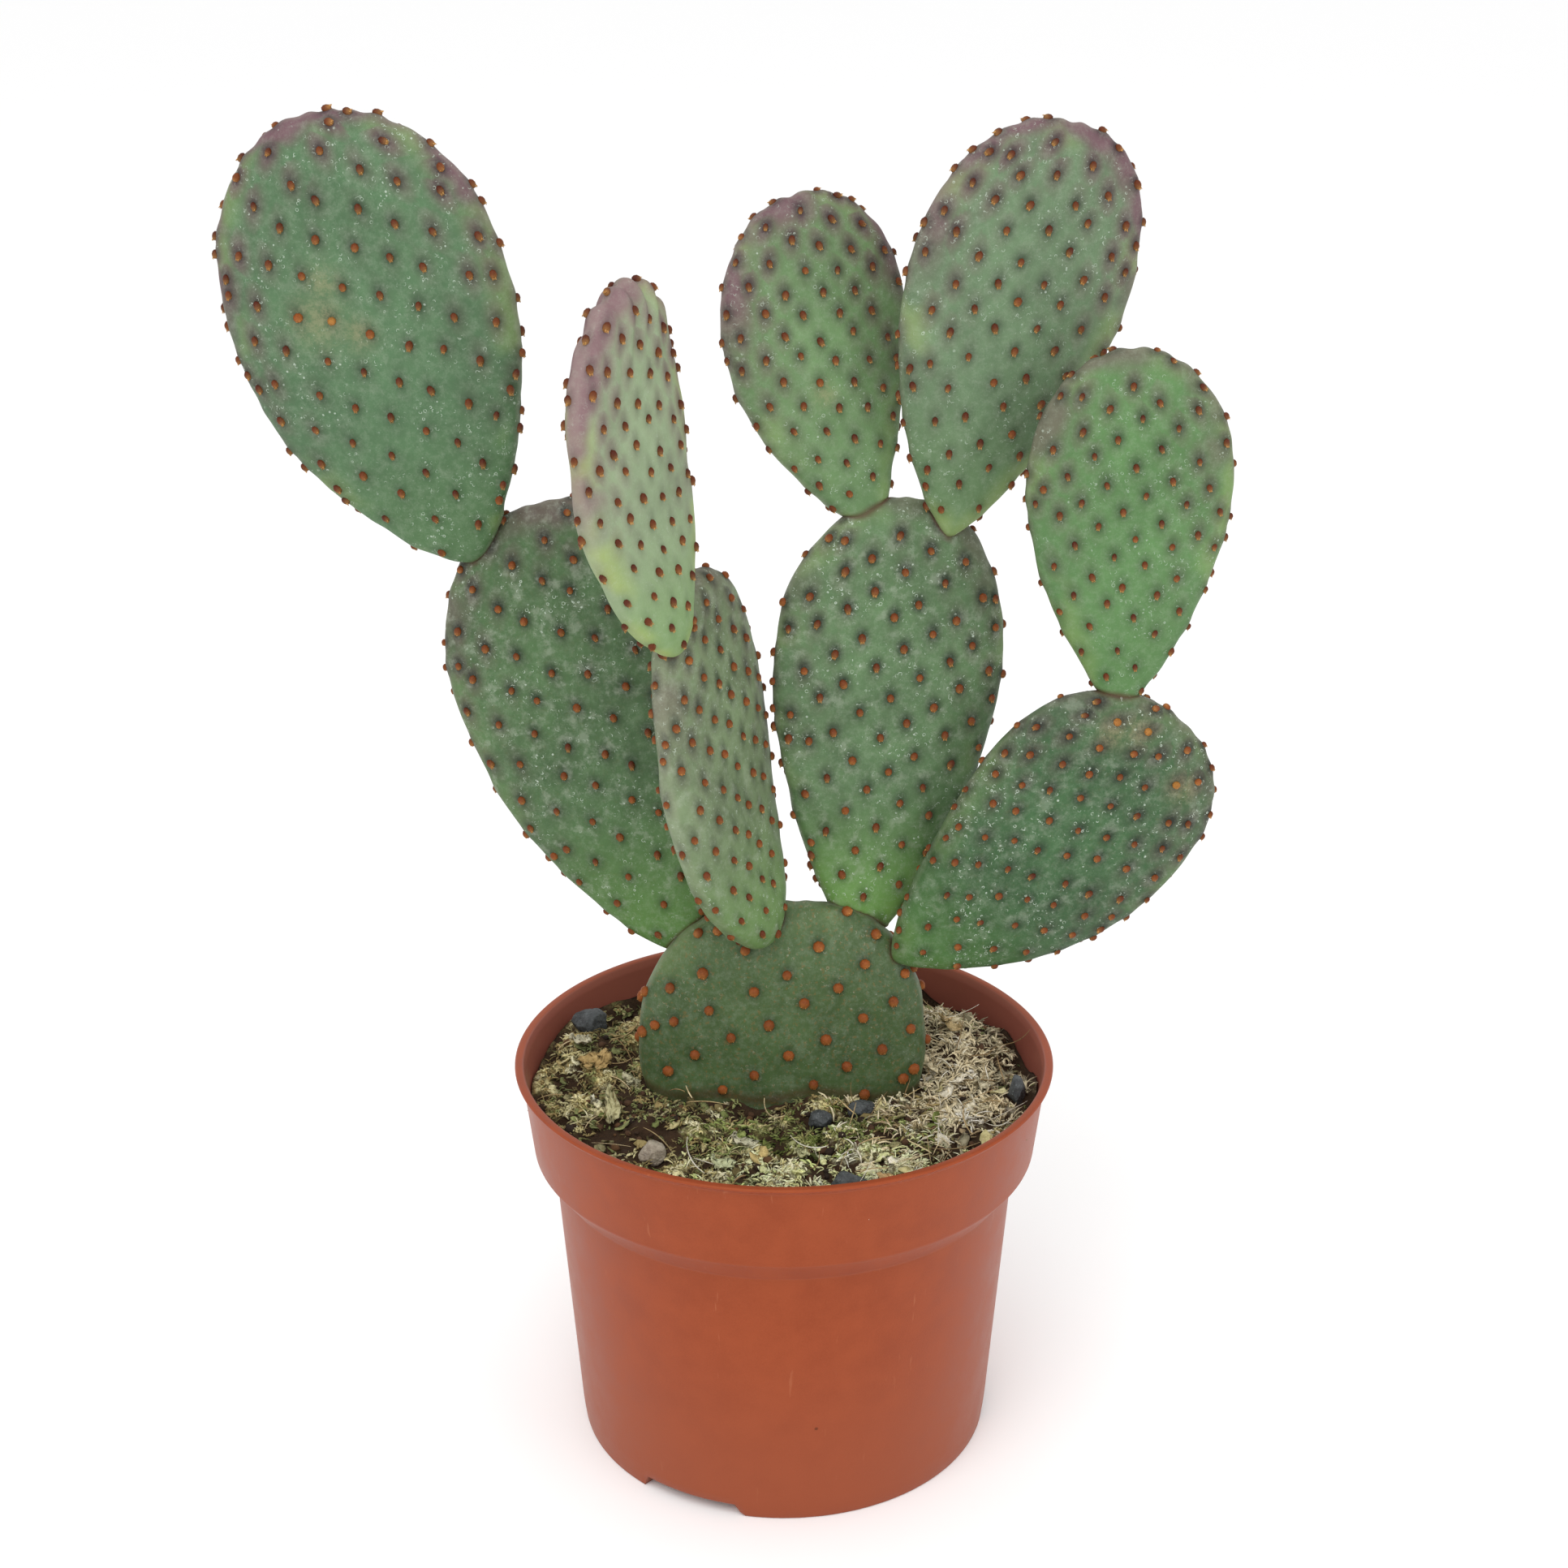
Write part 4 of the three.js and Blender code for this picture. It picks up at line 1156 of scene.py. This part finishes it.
def strewn(draw, margin):
    """A free place, a margin inside the wall, with the soil's height and the crust's roughness."""
    x, y = free_place(draw, wall_radius(SOIL.level) - margin)
    return x, y, soil_height(x, y), crumb_relief(x, y)


def tumbled(draw, points, least, most, at):
    """Points leaned by chance between two angles, turned any way round, and put at a place."""
    return turned_about(points, draw.uniform(least, most), draw.uniform(0, FULL_TURN), at)


def shaded(draw, code, gain):
    """A tint a little lighter or darker by chance, times a gain."""
    gain *= 1 + draw.uniform(-0.15, 0.15)
    gain = min(gain, PALEST / max(linear(code)[:3]))
    return tuple(part * gain for part in linear(code)[:3]) + (1,)


def cover_tint(draw, cover, x, y, height):
    """A cover's tint at a place: alike over a few millimetres, and lighter the higher it lies."""
    tints = COVERS[cover]["tints"]
    part = 0.5 + 0.55 * noise.noise(Vector((x / 4.5, y / 4.5, 8.0))) + 0.12 * height
    part += draw.uniform(-0.2, 0.2)
    code = tints[min(max(int(part * len(tints)), 0), len(tints) - 1)]
    gain = COVERS[cover]["gain"] * min(max(0.8 + 0.25 * height, 0.3), 1.2)
    return shaded(draw, code, min(gain, MOST_GAIN))


def build_moss(material):
    draw = random.Random(31)
    short = [clump_template(draw, 5, 2.3, 0.36, 2.0) for _ in range(6)]
    long = [clump_template(draw, 4, 4.2, 0.24, 1.2) for _ in range(5)]
    parts = {name: [] for name in COVERS}
    for _ in range(MOSS_CLUMPS):
        x, y, level, rough = strewn(draw, 2)
        if draw.random() < peaty(x, y):
            continue
        cover = cover_at(x, y, draw.random())
        stringy = draw.random() < (0.6 if cover == "straw" else 0.15)
        template = draw.choice(long if stringy else short)
        size = draw.uniform(0.6, 1.15) * (1 if cover == "straw" else 0.75)
        points = turned_about(mesh_points(template) * size, draw.uniform(-0.5, 0.5),
                              draw.uniform(0, FULL_TURN),
                              (x, y, level + rough + draw.uniform(-0.3, 0.3)))
        parts[cover].append((template, points, cover_tint(draw, cover, x, y, rough)))
    for cover, clumps in parts.items():
        for i in range(0, len(clumps), CLUMPS_IN_PIECE):
            name = f"cover_of_{cover}_{i // CLUMPS_IN_PIECE + 1}"
            mesh = gather(clumps[i:i + CLUMPS_IN_PIECE], name)
            add_piece(name, mesh, [material], ["soil"])


# Large flakes that lie on the crust: place, length, width, lean, turn in degrees and tint.
LARGE_FLAKES = [
    (-46, 4, 3.2, 2.6, -14, 20, "#b89c68"), (-41, -15, 4.4, 1.5, -35, 100, "#c3bd92"),
    (-50, 12, 2.6, 1.7, 10, 60, "#d2ccb2"), (-37, -2, 2.2, 1.5, -25, 150, "#cfcba8"),
    (-45, -13, 2.4, 1.3, 40, 75, "#dcd8c0"), (-14, -43, 2.3, 1.5, 5, 10, "#c3c8a0"),
    (-9, -31, 3.0, 1.4, 20, 35, "#cdc9ae"), (43, -16, 3.2, 1.5, 8, 10, "#e3d9c0"),
    (36, 3, 2.8, 1.6, -20, 120, "#dccfae"), (48, -3, 2.6, 1.5, 25, 70, "#d9cfb2"),
    (29, -11, 2.0, 1.4, 30, 45, "#e0dab9"), (31, -27, 2.8, 0.9, 50, 95, "#d8c7a0"),
    (24, -48, 2.7, 1.6, 5, 0, "#cfae7c"), (41, 16, 2.7, 1.8, -30, 160, "#c9b184"),
    (4, -36, 2.6, 1.5, 12, 80, "#c8c79c"), (10, -51, 2.9, 1.7, 6, 25, "#d5d5b4"),
]


def build_litter(material):
    draw = random.Random(57)
    noise.seed_set(57)  # the flakes' ragged shapes come from noise that starts at random otherwise
    hair = strand(3, 12)
    straight = mesh_points(hair)
    flakes = [flake_template(draw) for _ in range(5)]
    ball = bmesh.new()
    bmesh.ops.create_uvsphere(ball, u_segments=6, v_segments=4, radius=1)
    crumb = mesh_from(ball, "crumb")
    round_points = mesh_points(crumb)
    parts = []
    for _ in range(FIBRES):
        x, y, level, _ = strewn(draw, 7)
        if x < STRAW_FROM and draw.random() < 0.7:
            continue
        at = (x, y, level + draw.uniform(0.8, 2.6))
        points = bent(straight, draw.uniform(4, 13), draw.uniform(0.1, 0.22), 1.0,
                      draw.uniform(-1.8, 1.8), 0)
        parts.append((hair, tumbled(draw, points, 1.25, 1.7, at),
                      shaded(draw, draw.choice(FIBRE_TINTS), 1.2)))
    for _ in range(FLAKES):
        x, y, level, rough = strewn(draw, 4)
        template = draw.choice(flakes)
        size = draw.uniform(0.6, 2.0 if x > STRAW_FROM else 1.5)
        points = mesh_points(template) * (size * draw.uniform(0.8, 1.6), size, size)
        at = (x, y, level + rough + draw.uniform(0.2, 1.0))
        cover = cover_at(x, y, draw.random())
        parts.append((template, tumbled(draw, points, -0.8, 0.8, at),
                      cover_tint(draw, cover, x, y, rough)))
    large = [flake_template(draw, 11, 9, 0.9) for _ in range(4)]
    for i, (x, y, long, wide, lean, turn, tint) in enumerate(LARGE_FLAKES):
        template = large[i % len(large)]
        points = mesh_points(template) * (long, wide, (long + wide) / 2.5)
        at = (x, y, soil_height(x, y) + max(crumb_relief(x, y), 0) + 1.2)
        parts.append((template, turned_about(points, math.radians(lean), math.radians(turn), at),
                      linear(tint)))
    for _ in range(CRUMBS):
        x, y, level, rough = strewn(draw, 2)
        if draw.random() > peaty(x, y) + 0.25:
            continue
        size = draw.uniform(0.4, 1.25)
        points = round_points * (size * draw.uniform(0.8, 1.4), size, size * draw.uniform(0.6, 1))
        points = points * (1 + 0.12 * waves(round_points, 1.5, draw.randrange(1000)))[:, None]
        at = (x, y, level + rough + 0.3 * size)
        parts.append((crumb, tumbled(draw, points, -0.5, 0.5, at),
                      shaded(draw, draw.choice(PEAT_TINTS), 1.1)))
    mesh = gather(parts, "fibres_and_crumbs")
    add_piece("fibres_and_crumbs", mesh, [material], ["soil"])


def build_stone(stone, seed, material):
    """A broken stone: flat faces cut from a ball, with softened edges and a pitted skin."""
    form = bmesh.new()
    bmesh.ops.create_icosphere(form, subdivisions=5, radius=1)
    mesh = mesh_from(form, stone.name)
    ball = mesh_points(mesh)
    draw = np.random.default_rng(seed)
    cuts = draw.normal(size=(11, 3))
    cuts /= np.linalg.norm(cuts, axis=1, keepdims=True)
    reach = np.full(len(ball), 1.05)
    for cut in cuts:
        facing = np.maximum(ball @ cut, 0.05)
        reach = np.minimum(reach, draw.uniform(0.7, 0.96) / facing)
    shift = Vector((seed, 0, 0))
    pits = np.array([noise.fractal(Vector(p) * 2.6 + shift, 0.7, 2.1, 4) for p in ball])
    ball = ball * (reach + 0.05 * pits)[:, None] * np.array(stone.size)
    x, y = stone.at
    at = (x, y, soil_height(x, y) + 0.3 * stone.size[2])
    place_points(mesh, turned_about(ball, 0, math.radians(stone.turn), at))
    add_piece("loose_" + stone.name, mesh, [material], [stone.name])


# ---------------------------------------------------------------- make everything

felt = felt_material()
for pad in PADS:
    build_pad(pad, skin_material(pad), felt)
build_pot(pot_material())
build_ground(ground_material())
moss_finish = litter_material()
build_moss(moss_finish)
build_litter(moss_finish)
dark_stone = stone_material("dark_lava", "#232527", "#565a5b")
pale_stone = stone_material("pale_rock", "#7f7364", "#b5aa98")
for number, stone in enumerate(STONES):
    finish = pale_stone if stone.name == "pale_pebble" else dark_stone
    build_stone(stone, number + 3, finish)

# ---------------------------------------------------------------- floor, light and camera

# The camera of the photograph, in metres and degrees, as its view of the pot's circles gives it.
CAMERA = Sizes(lens=59.35, place=(0, -0.5569, 0.3915), elevation=21.84)


def build_floor():
    form = bmesh.new()
    bmesh.ops.create_circle(form, cap_ends=True, segments=96, radius=14)
    floor_mesh = mesh_from(form, "floor")
    for polygon in floor_mesh.polygons:
        if polygon.normal.z < 0:
            polygon.flip()
    material, tree, place = new_material("pale_floor")
    tone = grain_of(tree, place, 3.0, 60.0)["Tone"]
    tint = mix(tree, tone, (0.98, 0.98, 0.98, 1), (0.99, 0.99, 0.99, 1))
    floor_mesh.materials.append(finished(material, tint, 0.9, 0.5))
    floor = bpy.data.objects.new("floor", floor_mesh)
    bpy.context.scene.collection.objects.link(floor)


def add_light(name, at, size, power):
    light = bpy.data.lights.new(name, "AREA")
    light.shape = "DISK"
    light.size = size
    light.energy = power
    lamp = bpy.data.objects.new(name, light)
    lamp.location = at
    lamp.rotation_euler = (Vector((0, 0, 0.17)) - Vector(at)).to_track_quat("-Z", "Y").to_euler()
    bpy.context.scene.collection.objects.link(lamp)


build_floor()
add_light("key_light", (-0.35, -0.9, 1.3), 1.1, 9)
add_light("fill_light", (0.95, -0.75, 0.65), 0.9, 2)

scene = bpy.context.scene
world = bpy.data.worlds.new("studio")
world.use_nodes = True
world.node_tree.nodes["Background"].inputs["Color"].default_value = (1, 1, 1, 1)
world.node_tree.nodes["Background"].inputs["Strength"].default_value = 1.0
scene.world = world
scene.view_settings.view_transform = "Standard"

camera_data = bpy.data.cameras.new("camera")
camera_data.sensor_width = 36
camera_data.lens = CAMERA.lens
camera = bpy.data.objects.new("camera", camera_data)
camera.location = CAMERA.place
camera.rotation_euler = (math.radians(90 - CAMERA.elevation), 0, 0)
scene.collection.objects.link(camera)
scene.camera = camera
